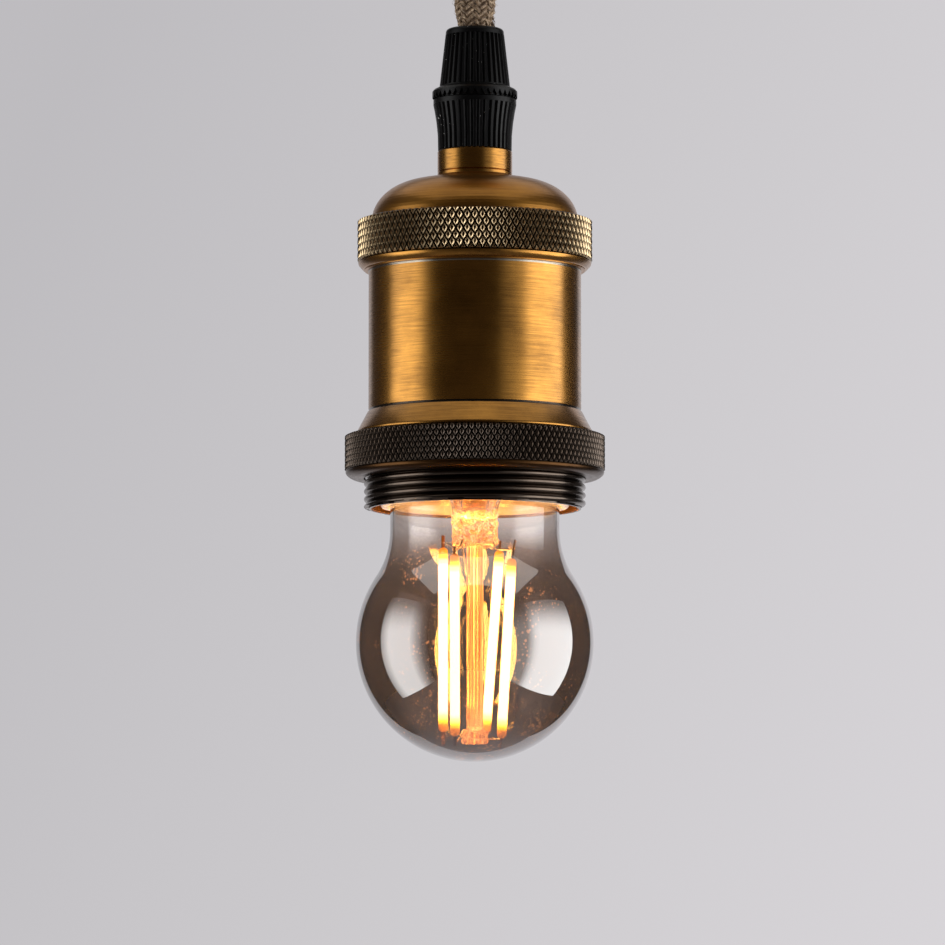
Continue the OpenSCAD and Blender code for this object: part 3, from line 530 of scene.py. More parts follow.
def pick(*pieces):
    """Leaves edit mode, selects only these pieces and makes the first active."""
    if bpy.context.object and bpy.context.object.mode == "EDIT":
        mode("OBJECT")
    bpy.ops.object.select_all(action="DESELECT")
    for piece in pieces:
        piece.select_set(True)
    bpy.context.view_layer.objects.active = pieces[0]


def arc(cx, cz, rx, rz, first, last, count):
    """Points of an arc, with its own radii across and up, in millimetres."""
    turns = [math.radians(first + (last - first) * i / count) for i in range(count + 1)]
    return [(cx + rx * math.cos(a), cz + rz * math.sin(a)) for a in turns]


def section(name, points):
    """Extrudes one vertex through points (radius, height), and stays in edit mode."""
    piece = add_piece(name, bpy.ops.mesh.primitive_plane_add, size=1e-5,
                      location=(points[0][0] * MM, 0, points[0][1] * MM))
    mode("EDIT")
    bpy.ops.mesh.select_mode(type="VERT")
    select_all()
    bpy.ops.mesh.merge(type="CENTER")
    for (r0, z0), (r1, z1) in zip(points, points[1:]):
        extrude(r1 - r0, z1 - z0)
    return piece


def clean_up(merge=1e-6):
    """Merges doubles and turns the faces outwards, in edit mode."""
    bpy.ops.mesh.select_mode(type="VERT")
    select_all()
    bpy.ops.mesh.remove_doubles(threshold=merge)
    bpy.ops.mesh.normals_make_consistent(inside=False)


def spun(name, points, steps=96):
    piece = section(name, points)
    select_all()
    bpy.ops.mesh.spin(steps=steps, angle=2 * math.pi, center=(0, 0, 0), axis=(0, 0, 1))
    clean_up()
    return piece


def shaded(piece, angle):
    """Leaves edit mode and shades smooth, with the sharp corners kept."""
    pick(piece)
    bpy.ops.object.shade_smooth_by_angle(angle=math.radians(angle))
    print(piece.name, len(piece.data.polygons), "faces")
    return piece


def modified(piece, kind, **settings):
    """Applies one modifier with these settings."""
    pick(piece)
    change = piece.modifiers.new(kind.lower(), kind)
    for key, value in settings.items():
        setattr(change, key, value)
    bpy.ops.object.modifier_apply(modifier=change.name)


# %% [markdown]
# ## Knurled rings
# A knurl is rolled in by two wheels, whose slanting grooves cross and leave rows of small pyramids.
# Here a band of squares is poked, which draws the two diagonals of each square. With the squares'
# own sides dissolved, diamonds are left, and three insets, each less steep, raise them to rounded
# pyramids, whose flanks catch the light as thin strokes. Their colour adds patina and painted shade
# in the grooves, painted shade on the crests and painted highlights on the flanks.


# %% A knurled band
def select_where(piece, kind, test):
    """Selects the vertices, edges or faces for which the test holds, in edit mode."""
    bpy.ops.mesh.select_all(action="DESELECT")
    bpy.ops.mesh.select_mode(type={"verts": "VERT", "edges": "EDGE", "faces": "FACE"}[kind])
    mesh = bmesh.from_edit_mesh(piece.data)
    for item in getattr(mesh, kind):
        if test(item):
            item.select_set(True)
    mesh.select_flush_mode()
    bmesh.update_edit_mesh(piece.data)


def cut_level(z, keep_below):
    """Cuts everything off on one side of height z, in millimetres."""
    select_all()
    bpy.ops.mesh.bisect(plane_co=(0, 0, z * MM), plane_no=(0, 0, 1), clear_outer=keep_below,
                        clear_inner=not keep_below)


PYRAMID_STEPS = (0.45, 0.55), (0.30, 0.33), (0.25, 0.12)  # shares of the flank's width and of the depth


def knurled_band(name, outer_r, depth, foot_z, top_z, flank, count, cell_h):
    """A band of rounded pyramids from foot_z up, cut level at top_z. It stays in edit mode."""
    piece = add_piece(name, bpy.ops.mesh.primitive_circle_add, vertices=count, radius=(outer_r - depth) * MM,
                      location=(0, 0, foot_z * MM))
    mode("EDIT")
    select_all()
    for _ in range(math.ceil((top_z - foot_z) / cell_h)):
        extrude(0, cell_h)
    clean_up()
    bpy.ops.mesh.poke()

    def square_side(edge):
        run = edge.verts[1].co - edge.verts[0].co
        level, upright = abs(run.z) < TINY, run.xy.length < TINY
        return not edge.is_boundary and (level or upright)

    select_where(piece, "edges", square_side)
    bpy.ops.mesh.dissolve_edges(use_verts=False)
    bpy.ops.mesh.select_mode(type="FACE")
    select_all()
    bpy.ops.mesh.normals_make_consistent(inside=False)
    for wide, high in PYRAMID_STEPS:
        bpy.ops.mesh.inset(thickness=wide * flank * MM, depth=high * depth * MM, use_individual=True)
    cut_level(top_z, True)
    return piece


def carry_up(start, points):
    """Extrudes what is selected from (radius, height) through the points."""
    r0, z0 = start
    for r1, z1 in points:
        extrude(0, z1 - z0)
        bpy.ops.transform.resize(value=(r1 / r0, r1 / r0, 1), center_override=(0, 0, 0))
        r0, z0 = r1, z1


def carry_rim(piece, start, points):
    """Extrudes the open rim at the start's height, in millimetres, through the points."""
    select_where(piece, "edges",
                 lambda e: e.is_boundary and all(abs(v.co.z - start[1] * MM) < 2e-5 for v in e.verts))
    carry_up(start, points)


def knurled_ring(name, outer_r, depth, band, flank, count, cell_h, over, under):
    """A ring: the knurled band, its rims carried in to the bore, the upper one behind the other."""
    foot_z, top_z = band
    piece = knurled_band(name, outer_r, depth, foot_z, top_z, flank, count, cell_h)
    base = outer_r - depth
    bore_r, bore_foot_z = under[-1]
    carry_rim(piece, (base, top_z), over + [(bore_r - 0.25, bore_foot_z + 0.4)])
    carry_rim(piece, (base, foot_z), under + [(bore_r, bore_foot_z + 0.8)])
    clean_up()
    return shaded(piece, 62)


# %% The upper ring and the shade ring
UPPER_R, UPPER_BORE, UPPER_TOP_Z, UPPER_FOOT_Z, UPPER_KNURL = 22.4, 21.07, -136.8, -146.4, 0.5
SHADE_R, SHADE_BORE, SHADE_TOP_Z, SHADE_FOOT_Z, SHADE_KNURL = 24.75, 21.15, -178, -186.4, 0.42
UPPER_BAND, SHADE_BAND = (-144.95, -137.2), (-185, -178.35)  # foot and top of each knurl
knurl_upper = knurled_ring(
    "knurled_upper_ring", UPPER_R, UPPER_KNURL, UPPER_BAND, flank=0.54, count=96, cell_h=2.58,
    over=[(21.3, -137), (20.7, -136.83), (20.2, UPPER_TOP_Z), (19.8, UPPER_TOP_Z), (19.8, -137.15),
          (UPPER_BORE, -137.18)],
    under=[(22, UPPER_BAND[0]), (22.25, -145.1), (22.15, -145.5), (21.75, -145.95), (21.45, UPPER_FOOT_Z + 0.12),
           (21.25, UPPER_FOOT_Z), (UPPER_BORE, UPPER_FOOT_Z)])
knurl_shade = knurled_ring(
    "knurled_shade_ring", SHADE_R, SHADE_KNURL, SHADE_BAND, flank=0.4, count=126, cell_h=2.11,
    over=[(23.9, -178.15), (23.3, SHADE_TOP_Z), (SHADE_BORE, SHADE_TOP_Z)],
    under=[(24.5, SHADE_BAND[0]), (24.6, -185.2), (24.45, -185.6), (24, -186), (23.4, SHADE_FOOT_Z + 0.1),
           (22.75, SHADE_FOOT_Z), (SHADE_BORE, SHADE_FOOT_Z)])


# %% Knurl finishes
def knurl_metal(name, groove, flank, crest, root_r, crest_r, rough):
    """Dark in the grooves and bright on the flanks, by the distance from the axis."""
    material, tree, shader = new_material(name)
    x, y, _ = own_axes(tree)
    height = map_range(tree, from_axis(tree, x, y)[1], root_r * MM, crest_r * MM)
    # Painted light: the grooves' dark is patina and painted shade, the dark crests are painted shade that dims the
    # tops' reflections, and the pale flanks are painted highlights.
    stops = [(0, groove), (0.2, groove), (0.45, flank), (0.66, flank), (0.82, crest)]
    fill(tree, shader, Base_Color=ramp(tree, height, stops), Metallic=1,
         Roughness=map_range(tree, height, 0, 1, rough + 0.25, rough))
    return material


knurled_brass = knurl_metal("knurled_brass", (0.012, 0.006, 0.002), (0.72, 0.54, 0.32), (0.05, 0.026, 0.010),
                            UPPER_R - UPPER_KNURL, UPPER_R - 0.02, 0.16)
knurled_bronze = knurl_metal("knurled_bronze", (0.014, 0.009, 0.006), (0.175, 0.140, 0.116), (0.048, 0.034, 0.025),
                             SHADE_R - SHADE_KNURL, SHADE_R - 0.02, 0.24)
enter(knurl_upper, "upper_ring", "knurled_brass", "pendant", knurled_brass, aged_brass)
enter(knurl_shade, "shade_ring", "dark_bronze", "shade_ring", knurled_bronze, lip_bronze)
for ring, (foot_z, _) in ((knurl_upper, UPPER_BAND), (knurl_shade, SHADE_BAND)):
    for face in ring.data.polygons:
        face.material_index = 1 if face.center.z < (foot_z - 0.02) * MM else 0
    print(ring.name, "lip faces", sum(f.material_index for f in ring.data.polygons))

# %% [markdown]
# ## Body sleeve and its thread
# The sleeve is a brass tube with a flare, and the shade's thread is rolled into its foot. The
# thread is a row of rounded crests that the Screw modifier carries round and up by one pitch, so
# that each crest runs on into the next. It is cut level, and its rims are carried into the sleeve.

# %% The thread
SLEEVE_R, SLEEVE_IN_R, SLEEVE_TOP_Z, SLEEVE_BASE_R = 20.25, 19.4, -138.2, 20.2
FLARE_Z, FLARE_FOOT_Z, FLARE_R = -173.5, -177.9, 22.4
THREAD_R, THREAD_DEPTH, THREAD_PITCH, THREAD_POINTS = 21.1, 0.75, 1.5, 10
THREAD_TOP_Z, THREAD_FOOT_Z, SKIRT_FOOT_Z = -178.3, -191.85, -192.2
MOUTH_R, LEDGE_R, LEDGE_Z, LEDGE_TOP_Z = 19.5, 18.1, -190.6, -189.8
BEAD_LINE_Z, BEAD_LINE_H = -147, 0.6
INSIDE_R, GROOVE_IN_R, GROOVE_OUT_R = 19.65, 20, 20.4


def screwed(name, wave, pitch, per_pitch, start_z, top_z, foot_z, steps):
    """Carries a wave, a radius for each share of a turn, round as a thread cut level at both ends."""
    turns = math.ceil((top_z - foot_z) / pitch) + 3
    shares = [i / per_pitch for i in range(turns * per_pitch + 1)]
    piece = section(name, [(wave(share), start_z + share * pitch) for share in shares])
    modified(piece, "SCREW", axis="Z", angle=2 * math.pi, screw_offset=pitch * MM, steps=steps, render_steps=steps)
    mode("EDIT")
    clean_up(2e-6)
    cut_level(top_z, True)
    cut_level(foot_z, False)
    return piece


def joined(name, *pieces):
    pick(*pieces)
    bpy.ops.object.join()
    piece = bpy.context.object
    piece.name = piece.data.name = name
    return piece


def crest(share):
    return THREAD_R - THREAD_DEPTH + THREAD_DEPTH * abs(math.sin(math.pi * share)) ** 0.75


thread = screwed("shade_thread", crest, THREAD_PITCH, THREAD_POINTS, THREAD_FOOT_Z - 2 * THREAD_PITCH,
                 THREAD_TOP_Z, THREAD_FOOT_Z, 128)
carry_rim(thread, (1, THREAD_TOP_Z), [(1, FLARE_FOOT_Z + 0.05)])
carry_rim(thread, (1, THREAD_FOOT_Z), [(0.985, SKIRT_FOOT_Z + 0.02), (0.958, SKIRT_FOOT_Z + 0.15)])
mode("OBJECT")

# %% The sleeve
flare = [(SLEEVE_BASE_R, FLARE_FOOT_Z), (FLARE_R - 0.1, FLARE_FOOT_Z), (FLARE_R, FLARE_FOOT_Z + 0.15),
         (FLARE_R, FLARE_FOOT_Z + 0.5), (FLARE_R - 0.1, FLARE_FOOT_Z + 0.66), (20.42, FLARE_Z - 0.2),
         (20.33, FLARE_Z - 0.12), (20.1, FLARE_Z), (20.08, FLARE_Z + 0.12), (SLEEVE_BASE_R, FLARE_Z + 0.3)]
wall_foot = FLARE_Z + 0.4
wall = [(SLEEVE_R, wall_foot + (BEAD_LINE_Z - wall_foot) * i / 9) for i in range(10)]
bead = arc(SLEEVE_R, BEAD_LINE_Z + BEAD_LINE_H / 2, 0.09, 0.2, -80, 80, 6) + [(SLEEVE_R, BEAD_LINE_Z + BEAD_LINE_H)]
top = [(SLEEVE_R, -143), (SLEEVE_R, SLEEVE_TOP_Z - 0.3), (SLEEVE_R - 0.3, SLEEVE_TOP_Z),
       (SLEEVE_IN_R, SLEEVE_TOP_Z)]
ledge = [(SLEEVE_IN_R, LEDGE_TOP_Z), (LEDGE_R, LEDGE_TOP_Z), (LEDGE_R, LEDGE_Z), (MOUTH_R, LEDGE_Z)]
mouth = [(MOUTH_R, SKIRT_FOOT_Z + 0.25), (MOUTH_R + 0.25, SKIRT_FOOT_Z), (SLEEVE_BASE_R, SKIRT_FOOT_Z)]
sleeve = spun("brass_sleeve", flare + wall + bead + top + ledge + mouth + flare[:1], 128)
joined("brass_sleeve", sleeve, thread)
mode("EDIT")
clean_up()
shaded(sleeve, 40)
enter(sleeve, "body_sleeve", "aged_brass", "sleeve", aged_brass, dark_bronze, raw_brass, bright_edge)

# %% The sleeve's four finishes: aged brass, dark bronze on the thread and as painted shade in the groove, raw inside, polished bead line
for face in sleeve.data.polygons:
    height, out = face.center.z / MM, face.center.xy.length / MM
    if height < FLARE_FOOT_Z - 0.05:
        face.material_index = 1 if out > INSIDE_R else 2
    elif out > SLEEVE_R and BEAD_LINE_Z < height < BEAD_LINE_Z + BEAD_LINE_H:
        face.material_index = 3
    # Painted shade: the groove above the flare takes the dark bronze as a shadow line.
    elif GROOVE_IN_R < out < GROOVE_OUT_R and FLARE_Z - 0.19 < height < FLARE_Z + 0.3:
        face.material_index = 1
print("faces by finish", [sum(f.material_index == i for f in sleeve.data.polygons) for i in range(4)])

# %% [markdown]
# ## Rim of the porcelain
# The porcelain core ends in a thin rim that comes down through the sleeve's ledge and nearly fills
# the mouth. It is seen from below, lit orange by the sticks and by a painted glow in its finish. It
# is a spun ring with eased edges.

# %% The rim
RIM_IN_R, RIM_OUT_R, RIM_TOP_Z, RIM_EASE_Z, RIM_FOOT_Z = 16.45, 17.9, -189.72, -190.8, -191.9
porcelain_rim = spun("porcelain_rim", [
    (RIM_IN_R, RIM_TOP_Z), (RIM_IN_R, RIM_EASE_Z), (RIM_IN_R + 0.08, RIM_FOOT_Z + 0.3), (RIM_IN_R + 0.35, RIM_FOOT_Z),
    (RIM_OUT_R - 0.25, RIM_FOOT_Z), (RIM_OUT_R, RIM_FOOT_Z + 0.25), (RIM_OUT_R, RIM_EASE_Z), (RIM_OUT_R, RIM_TOP_Z),
    (RIM_IN_R, RIM_TOP_Z)])
shaded(porcelain_rim, 40)
enter(porcelain_rim, None, "porcelain", "core", porcelain)

# %% [markdown]
# ## Screw shells
# The bulb's cap and the socket's shell are thin sheet with the same round rolled thread, 3.6 mm a
# turn. Both are swept by the Screw modifier from one wave, with the thickness given by Solidify.

# %% Cap and socket shell
CAP_PITCH, CAP_WAVE, CAP_POINTS, SHEET = 3.629, 0.46, 12, 0.3
CAP_R, CAP_RIM_Z, CAP_TOP_Z = 13.1, -187.8, -166.5
SOCKET_R, SOCKET_TOP_Z, SOCKET_FOOT_Z = 13.55, -165.1, -184.6


def rolled_shell(name, middle_r, top_z, foot_z, rim_r, sheet_side, over, under=()):
    """A sheet rolled to a round thread. Both shells' waves start at the same height, so that they mesh."""
    start_z = -300 + CAP_PITCH * math.ceil((300 + foot_z) / CAP_PITCH - 2)
    piece = screwed(name, lambda share: middle_r + CAP_WAVE * math.cos(2 * math.pi * share), CAP_PITCH, CAP_POINTS,
                    start_z, top_z, foot_z, 96)
    carry_rim(piece, (rim_r, top_z), over)
    if under:
        carry_rim(piece, (rim_r, foot_z), under)
    clean_up()
    modified(piece, "SOLIDIFY", thickness=SHEET * MM, offset=sheet_side)
    return shaded(piece, 45)


cap_shell = rolled_shell(
    "bulb_cap_shell", CAP_R - CAP_WAVE, CAP_TOP_Z - 1, CAP_RIM_Z + 3.6, rim_r=12.6, sheet_side=-1,
    over=[(12.3, CAP_TOP_Z - 0.3), (11.65, CAP_TOP_Z + 0.35), (11.25, CAP_TOP_Z + 0.3)],
    under=[(12.55, CAP_RIM_Z + 2.9), (12.75, CAP_RIM_Z + 1.6), (12.98, CAP_RIM_Z)])
socket_shell = rolled_shell(
    "socket_screw_shell", SOCKET_R - CAP_WAVE + 0.05, SOCKET_TOP_Z - 1.2, SOCKET_FOOT_Z, rim_r=13.1, sheet_side=0,
    over=[(13.35, SOCKET_TOP_Z - 0.35), (12.8, SOCKET_TOP_Z - 0.15), (10.5, SOCKET_TOP_Z - 0.15)])
enter(cap_shell, "base_shell", "nickel", "bulb", nickel_plate)
enter(socket_shell, "screw_shell", "contact_brass", "core", contact_metal)

# %% [markdown]
# ## Contact leaf
# The middle contact sits on a leaf of springy brass, cut from strip and bent, which gives way when
# the bulb is screwed in. It takes the imported piece's shape, welded.

# %% The leaf
leaf_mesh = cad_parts["contact_spring"].data.copy()
leaf_mesh.name = "contact_leaf"
contact_leaf = bpy.data.objects.new("contact_leaf", leaf_mesh)
scene.collection.objects.link(contact_leaf)
pick(contact_leaf)
mode("EDIT")
clean_up(1e-5)
mode("OBJECT")
enter(contact_leaf, "contact_spring", "contact_brass", None)
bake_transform(contact_leaf)
print("contact_leaf", len(contact_leaf.data.polygons), "faces")

# %% [markdown]
# ## Glass
# The globe is blown glass with a thin smoky, half mirrored coat. It is drawn as one closed section,
# outside and inside, so that light is bent twice in each wall as in real glass. The smoke is the
# glass's own colour, deeper where it is seen at a slant, and the mirror is a clear coat of high
# index that grows from the neck down. Lamps shine through it by way of the shadow rays.

# %% The globe
GLOBE_R, GLOBE_Z, NECK_R, FILLET_R, FILLET_Z = 22.6, -217.617, 16.1, 16.1, -196.15
GLASS_TOP_R, GLASS_TOP_Z, SHOULDER_Z, GLASS_WALL = 12.35, CAP_RIM_Z - 0.2, -191.5, 0.6
JOIN_ANGLE = math.degrees(math.atan2(FILLET_Z - GLOBE_Z, NECK_R + FILLET_R))


def glass_outline(inset):
    neck, globe, fillet, top = NECK_R - inset, GLOBE_R - inset, FILLET_R + inset, GLASS_TOP_R - inset
    return ([(top, CAP_RIM_Z + 6), (top, CAP_RIM_Z + 3), (top, GLASS_TOP_Z)]
            + arc(top, SHOULDER_Z, neck - top, GLASS_TOP_Z - SHOULDER_Z, 82, 0, 16)
            + [(neck, SHOULDER_Z - down) for down in (1.2, 2.6, 3.8)]
            + arc(NECK_R + FILLET_R, FILLET_Z, fillet, fillet, 180, 180 + JOIN_ANGLE, 26)
            + arc(0, GLOBE_Z, globe, globe, JOIN_ANGLE - 2, -89, 64) + [(0, GLOBE_Z - globe)])


outside, inside = glass_outline(0), glass_outline(GLASS_WALL)
bulb_glass = shaded(spun("bulb_glass", outside + inside[::-1] + outside[:1], 160), 60)


# %% Glass that lets lamps through
def glass_material(name, tint, shadow_tint, transmission=1):
    material, tree, shader = new_material(name)
    fill(tree, shader, Base_Color=tint, Roughness=0, Transmission_Weight=transmission, IOR=1.5)
    clear = add_node(tree, "BsdfTransparent", shadow_tint)
    shadow = add_node(tree, "LightPath", out="Is Shadow Ray")
    fill(tree, tree.nodes["Material Output"],
         Surface=add_node(tree, "MixShader", shadow, shader.outputs[0], clear))
    return material, tree, shader


smoky_glass, tree, shader = glass_material("smoky_glass", (0.2, 0.13, 0.10), (0.80, 0.77, 0.74))
down = map_range(tree, own_axes(tree)[2], -0.193, -0.240)
smoke = ramp(tree, down, [(0, (0.95, 0.92, 0.90)), (0.12, (0.50, 0.41, 0.37)), (0.24, (0.20, 0.145, 0.125)),
                          (0.42, (0.11, 0.072, 0.058)), (0.88, (0.10, 0.065, 0.05)), (1, (0.15, 0.10, 0.085))])
slant = add_node(tree, "LayerWeight", out="Facing", Blend=0.5)
thick = map_range(tree, slant, 0.18, 0.55, 1, 0.42, smooth=True)
deep = mix(tree, blend_type="MULTIPLY", Factor=1, A=smoke, B=thick)
fill(tree, shader, Base_Color=deep, Coat_Weight=map_range(tree, down, 0.02, 0.32, smooth=True), Coat_IOR=2.5,
     Coat_Roughness=0)

hazy_glass, tree, shader = glass_material("hazy_glass", (0.98, 0.95, 0.93), (0.95, 0.93, 0.91), transmission=0.988)
# Painted sparkle: specks of the inner glass near the top glow orange, standing for glints of the sticks' light.
painted_sparkle_dots = use_group(tree, specks, Specks_per_m=1300, Size=0.42)
painted_sparkle_share = maths(tree, "MULTIPLY", painted_sparkle_dots, map_range(tree, own_axes(tree)[2], -0.199, -0.204))
fill(tree, shader, Emission_Color=ramp(tree, painted_sparkle_share, [(0, (0, 0, 0)), (1, (1, 0.45, 0.16))]),
     Emission_Strength=1.4, Specular_IOR_Level=0.22)
enter(bulb_glass, "glass_globe", "smoky_glass", "bulb", smoky_glass, hazy_glass)
centre = Vector((0, 0, GLOBE_Z * MM))
for face in bulb_glass.data.polygons:
    face.material_index = 0 if face.normal.dot(face.center - centre) > 0 else 1
print("inside faces", sum(f.material_index for f in bulb_glass.data.polygons))

# %% [markdown]
# ## Filaments
# Each stick is a row of tiny lamps under a yellow coating. It glows evenly along its length and
# fades to orange at its rounded ends, where the coating covers the metal tab. A stick is made upright,
# its end edges are bevelled round, and the distance to its nearer end is kept as an attribute, which
# the glow reads.

# %% The glowing sticks
STICK_R, STICK_ROUND = 0.9, 0.78
STICKS = {  # upper end and lower end of each stick, in millimetres
    "1": ((-6.07, 4.47, -199.3), (-6.05, 3.05, -234.5)), "2": ((-3.83, -6.74, -201.4), (-3.73, -5.56, -235.6)),
    "3": ((4.74, 6.74, -199.7), (2.09, 5.84, -234.5)), "4": ((6.96, -4.53, -202.1), (4.99, -2.96, -235.9))}

stick_glow, tree, shader = new_material("glowing_stick")
lit = map_range(tree, add_node(tree, "Attribute", out="Fac", attribute_name="from_end"), 0, 5)
glow = ramp(tree, lit, [(0, (0.012, 0.003, 0.0004)), (0.26, (0.05, 0.013, 0.0008)), (0.42, (0.20, 0.085, 0.002)),
                        (0.62, (0.85, 0.43, 0.05)), (0.8, (1, 0.58, 0.15))])
fill(tree, shader, Emission_Color=glow, Base_Color=(0.80, 0.40, 0.06), Roughness=0.5, Emission_Strength=60)


def stand_between(piece, top, foot):
    """Turns an upright piece at the origin so that it stands from foot to top, and applies that."""
    piece.rotation_euler = (Vector(top) - Vector(foot)).to_track_quat("Z", "Y").to_euler()
    piece.location = (Vector(top) + Vector(foot)) / 2 * MM
    bpy.ops.object.transform_apply(location=True, rotation=True, scale=True)
    return piece


def led_stick(name, top, foot):
    length = (Vector(top) - Vector(foot)).length
    piece = add_piece(name, bpy.ops.mesh.primitive_cylinder_add, vertices=20, radius=STICK_R * MM, depth=length * MM)
    mode("EDIT")
    select_where(piece, "edges", lambda e: abs(e.verts[0].co.z - e.verts[1].co.z) < TINY)
    bpy.ops.mesh.bevel(offset=STICK_ROUND * MM, segments=4)
    select_where(piece, "edges", lambda e: abs(e.verts[0].co.z - e.verts[1].co.z) > length * MM / 2)
    bpy.ops.mesh.subdivide(number_cuts=23)
    mode("OBJECT")
    mark = piece.data.attributes.new("from_end", "FLOAT", "POINT")
    for vert, value in zip(piece.data.vertices, mark.data):
        value.value = length / 2 - abs(vert.co.z / MM)
    return shaded(stand_between(piece, top, foot), 60)


for number, (top, foot) in STICKS.items():
    enter(led_stick("led_stick_" + number, top, foot), "filament_" + number, "glowing_stick", "bulb", stick_glow)

# %% [markdown]
# ## Stem and rod
# The wires enter through a glass stem whose foot is pressed flat and wrinkled round them, and a
# glass rod stands in it and ends in a flattened bead. The stem is spun, and Displace wrinkles only
# its foot. The rod is a circle whose every second point is drawn in a little, so that it carries
# thin bright lines. Folds in this glass gather the sticks' light into orange threads, which a noise
# with narrow bands of glow stands for.


# %% Glass with threads of light
def sparkling(name, scale, stretch, strength):
    material, tree, shader = glass_material(name, (1, 0.74, 0.50), (0.95, 0.9, 0.85), transmission=0.985)
    laid = add_node(tree, "Mapping", own_place(tree), Scale=(1, 1, stretch))
    folds = noise(tree, laid, Scale=scale, Detail=3, Roughness=0.6, Distortion=1.6)
    threads = ramp(tree, folds, [(0.36, (0.35, 0.06, 0.006)), (0.43, (0.10, 0.012, 0.001)), (0.46, (0.9, 0.28, 0.04)),
                                 (0.48, (1, 0.75, 0.32)), (0.505, (0.8, 0.20, 0.03)), (0.55, (0.12, 0.016, 0.001)),
                                 (0.59, (1, 0.42, 0.08)), (0.64, (0.20, 0.03, 0.003))])
    below = map_range(tree, own_axes(tree)[2], -0.1925, -0.1945, smooth=True)
    fill(tree, shader, Emission_Color=mix(tree, Factor=below, A=(0, 0, 0), B=threads), Emission_Strength=strength)
    return material


stem_look = sparkling("sparkling_stem", 300, 1, 1.1)
rod_look = sparkling("sparkling_rod", 520, 0.015, 2.4)
bead_look = sparkling("sparkling_bead", 300, 1, 3)
print("stem, rod and bead finishes done")

# %% The stem with its pressed foot
STEM_R, STEM_FOOT_Z, FLARE_RIM_R = 4.45, -199.6, 11.6
THROAT_Z, STEM_RIM_Z, STEM_RIM_IN_Z = STEM_FOOT_Z + 7, -187.2, -186.5


def bell(out, rim_z):
    return arc(FLARE_RIM_R, THROAT_Z, FLARE_RIM_R - STEM_R + out, rim_z - THROAT_Z, 92, 180, 12)


press_walls = [(STEM_R, THROAT_Z - 0.35 * i) for i in range(1, 18)]
press_foot = arc(STEM_R - 1.2, STEM_FOOT_Z + 1, 1.2, 1, 0, -90, 5) + [(r, STEM_FOOT_Z) for r in (2.6, 2, 1.4, 0.8, 0)]
hollow = [(0, STEM_FOOT_Z + 5), (STEM_R - 1.7, STEM_FOOT_Z + 5.6)]
outer_bell, inner_bell = bell(0, STEM_RIM_Z), bell(0.7, STEM_RIM_IN_Z)
stem_glass = spun("stem_glass", outer_bell + press_walls + press_foot + hollow + inner_bell[::-1]
                  + outer_bell[:1], 72)
mode("OBJECT")
wrinkled = stem_glass.vertex_groups.new(name="pressed")
for vert in stem_glass.data.vertices:
    share = min(1, max(0, (STEM_FOOT_Z + 8 - vert.co.z / MM) / 2.5))
    wrinkled.add([vert.index], share, "REPLACE")
folds = bpy.data.textures.new("folds", "CLOUDS")
folds.noise_scale = 0.0012
modified(stem_glass, "DISPLACE", texture=folds, texture_coords="GLOBAL", vertex_group="pressed",
         strength=1.1 * MM, mid_level=0.62)
stem_glass.vertex_groups.clear()
shaded(stem_glass, 80)
enter(stem_glass, "glass_stem", "clear_glass", "bulb", stem_look)

# %% The rod and its bead
ROD_R, ROD_IN_R, ROD_SIDES, ROD_TOP_Z, BEAD_TOP_Z, BEAD_FOOT_Z = 1.62, 1.36, 28, STEM_FOOT_Z + 0.4, -234.3, -236.9
rod_glass = add_piece("rod_glass", bpy.ops.mesh.primitive_circle_add, vertices=ROD_SIDES, radius=ROD_R * MM,
                      location=(0, 0, ROD_TOP_Z * MM), fill_type="NGON")
mode("EDIT")
select_where(rod_glass, "verts", lambda v: round(math.atan2(v.co.y, v.co.x) / (2 * math.pi / ROD_SIDES)) % 2 == 0)
bpy.ops.transform.resize(value=(ROD_IN_R / ROD_R, ROD_IN_R / ROD_R, 1), center_override=(0, 0, 0))
bpy.ops.mesh.select_mode(type="FACE")
select_all()
carry_up((1, ROD_TOP_Z), [(1, BEAD_TOP_Z + 0.5), (1.3, BEAD_TOP_Z + 0.15), (1.52, BEAD_TOP_Z),
                            (1.64, BEAD_TOP_Z - 0.5), (1.5, BEAD_TOP_Z - 1.3), (1.64, BEAD_FOOT_Z + 0.5),
                            (1.5, BEAD_FOOT_Z + 0.1), (1.1, BEAD_FOOT_Z)])
clean_up()
shaded(rod_glass, 50)
enter(rod_glass, "centre_rod", "clear_glass", "bulb", rod_look, bead_look)
for face in rod_glass.data.polygons:
    face.material_index = 1 if face.center.z < (BEAD_TOP_Z + 0.2) * MM else 0

# %% [markdown]
# ## Wires inside
# The insulated wires are soft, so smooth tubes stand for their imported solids, along the same points.

# %% Insulated wires
CORE_R, BARE_R = 1.05, 0.2
POLE_Z, TERMINAL_Z = -7, -147.8


def wire(name, points, radius=CORE_R):
    line = bpy.data.curves.new(name, "CURVE")
    line.dimensions = "3D"
    path = line.splines.new("BEZIER")
    path.bezier_points.add(len(points) - 1)
    for knot, point in zip(path.bezier_points, points):
        knot.co = Vector(point) * MM
        knot.handle_left_type = knot.handle_right_type = "AUTO"
    line.bevel_depth, line.bevel_resolution, line.resolution_u = radius * MM, 3, 6
    line.use_fill_caps = True
    piece = bpy.data.objects.new(name, line)
    scene.collection.objects.link(piece)
    pick(piece)
    bpy.ops.object.convert(target="MESH")
    return bpy.context.object


def mirrored(run):
    return [(-x, y, z) for x, y, z in run]


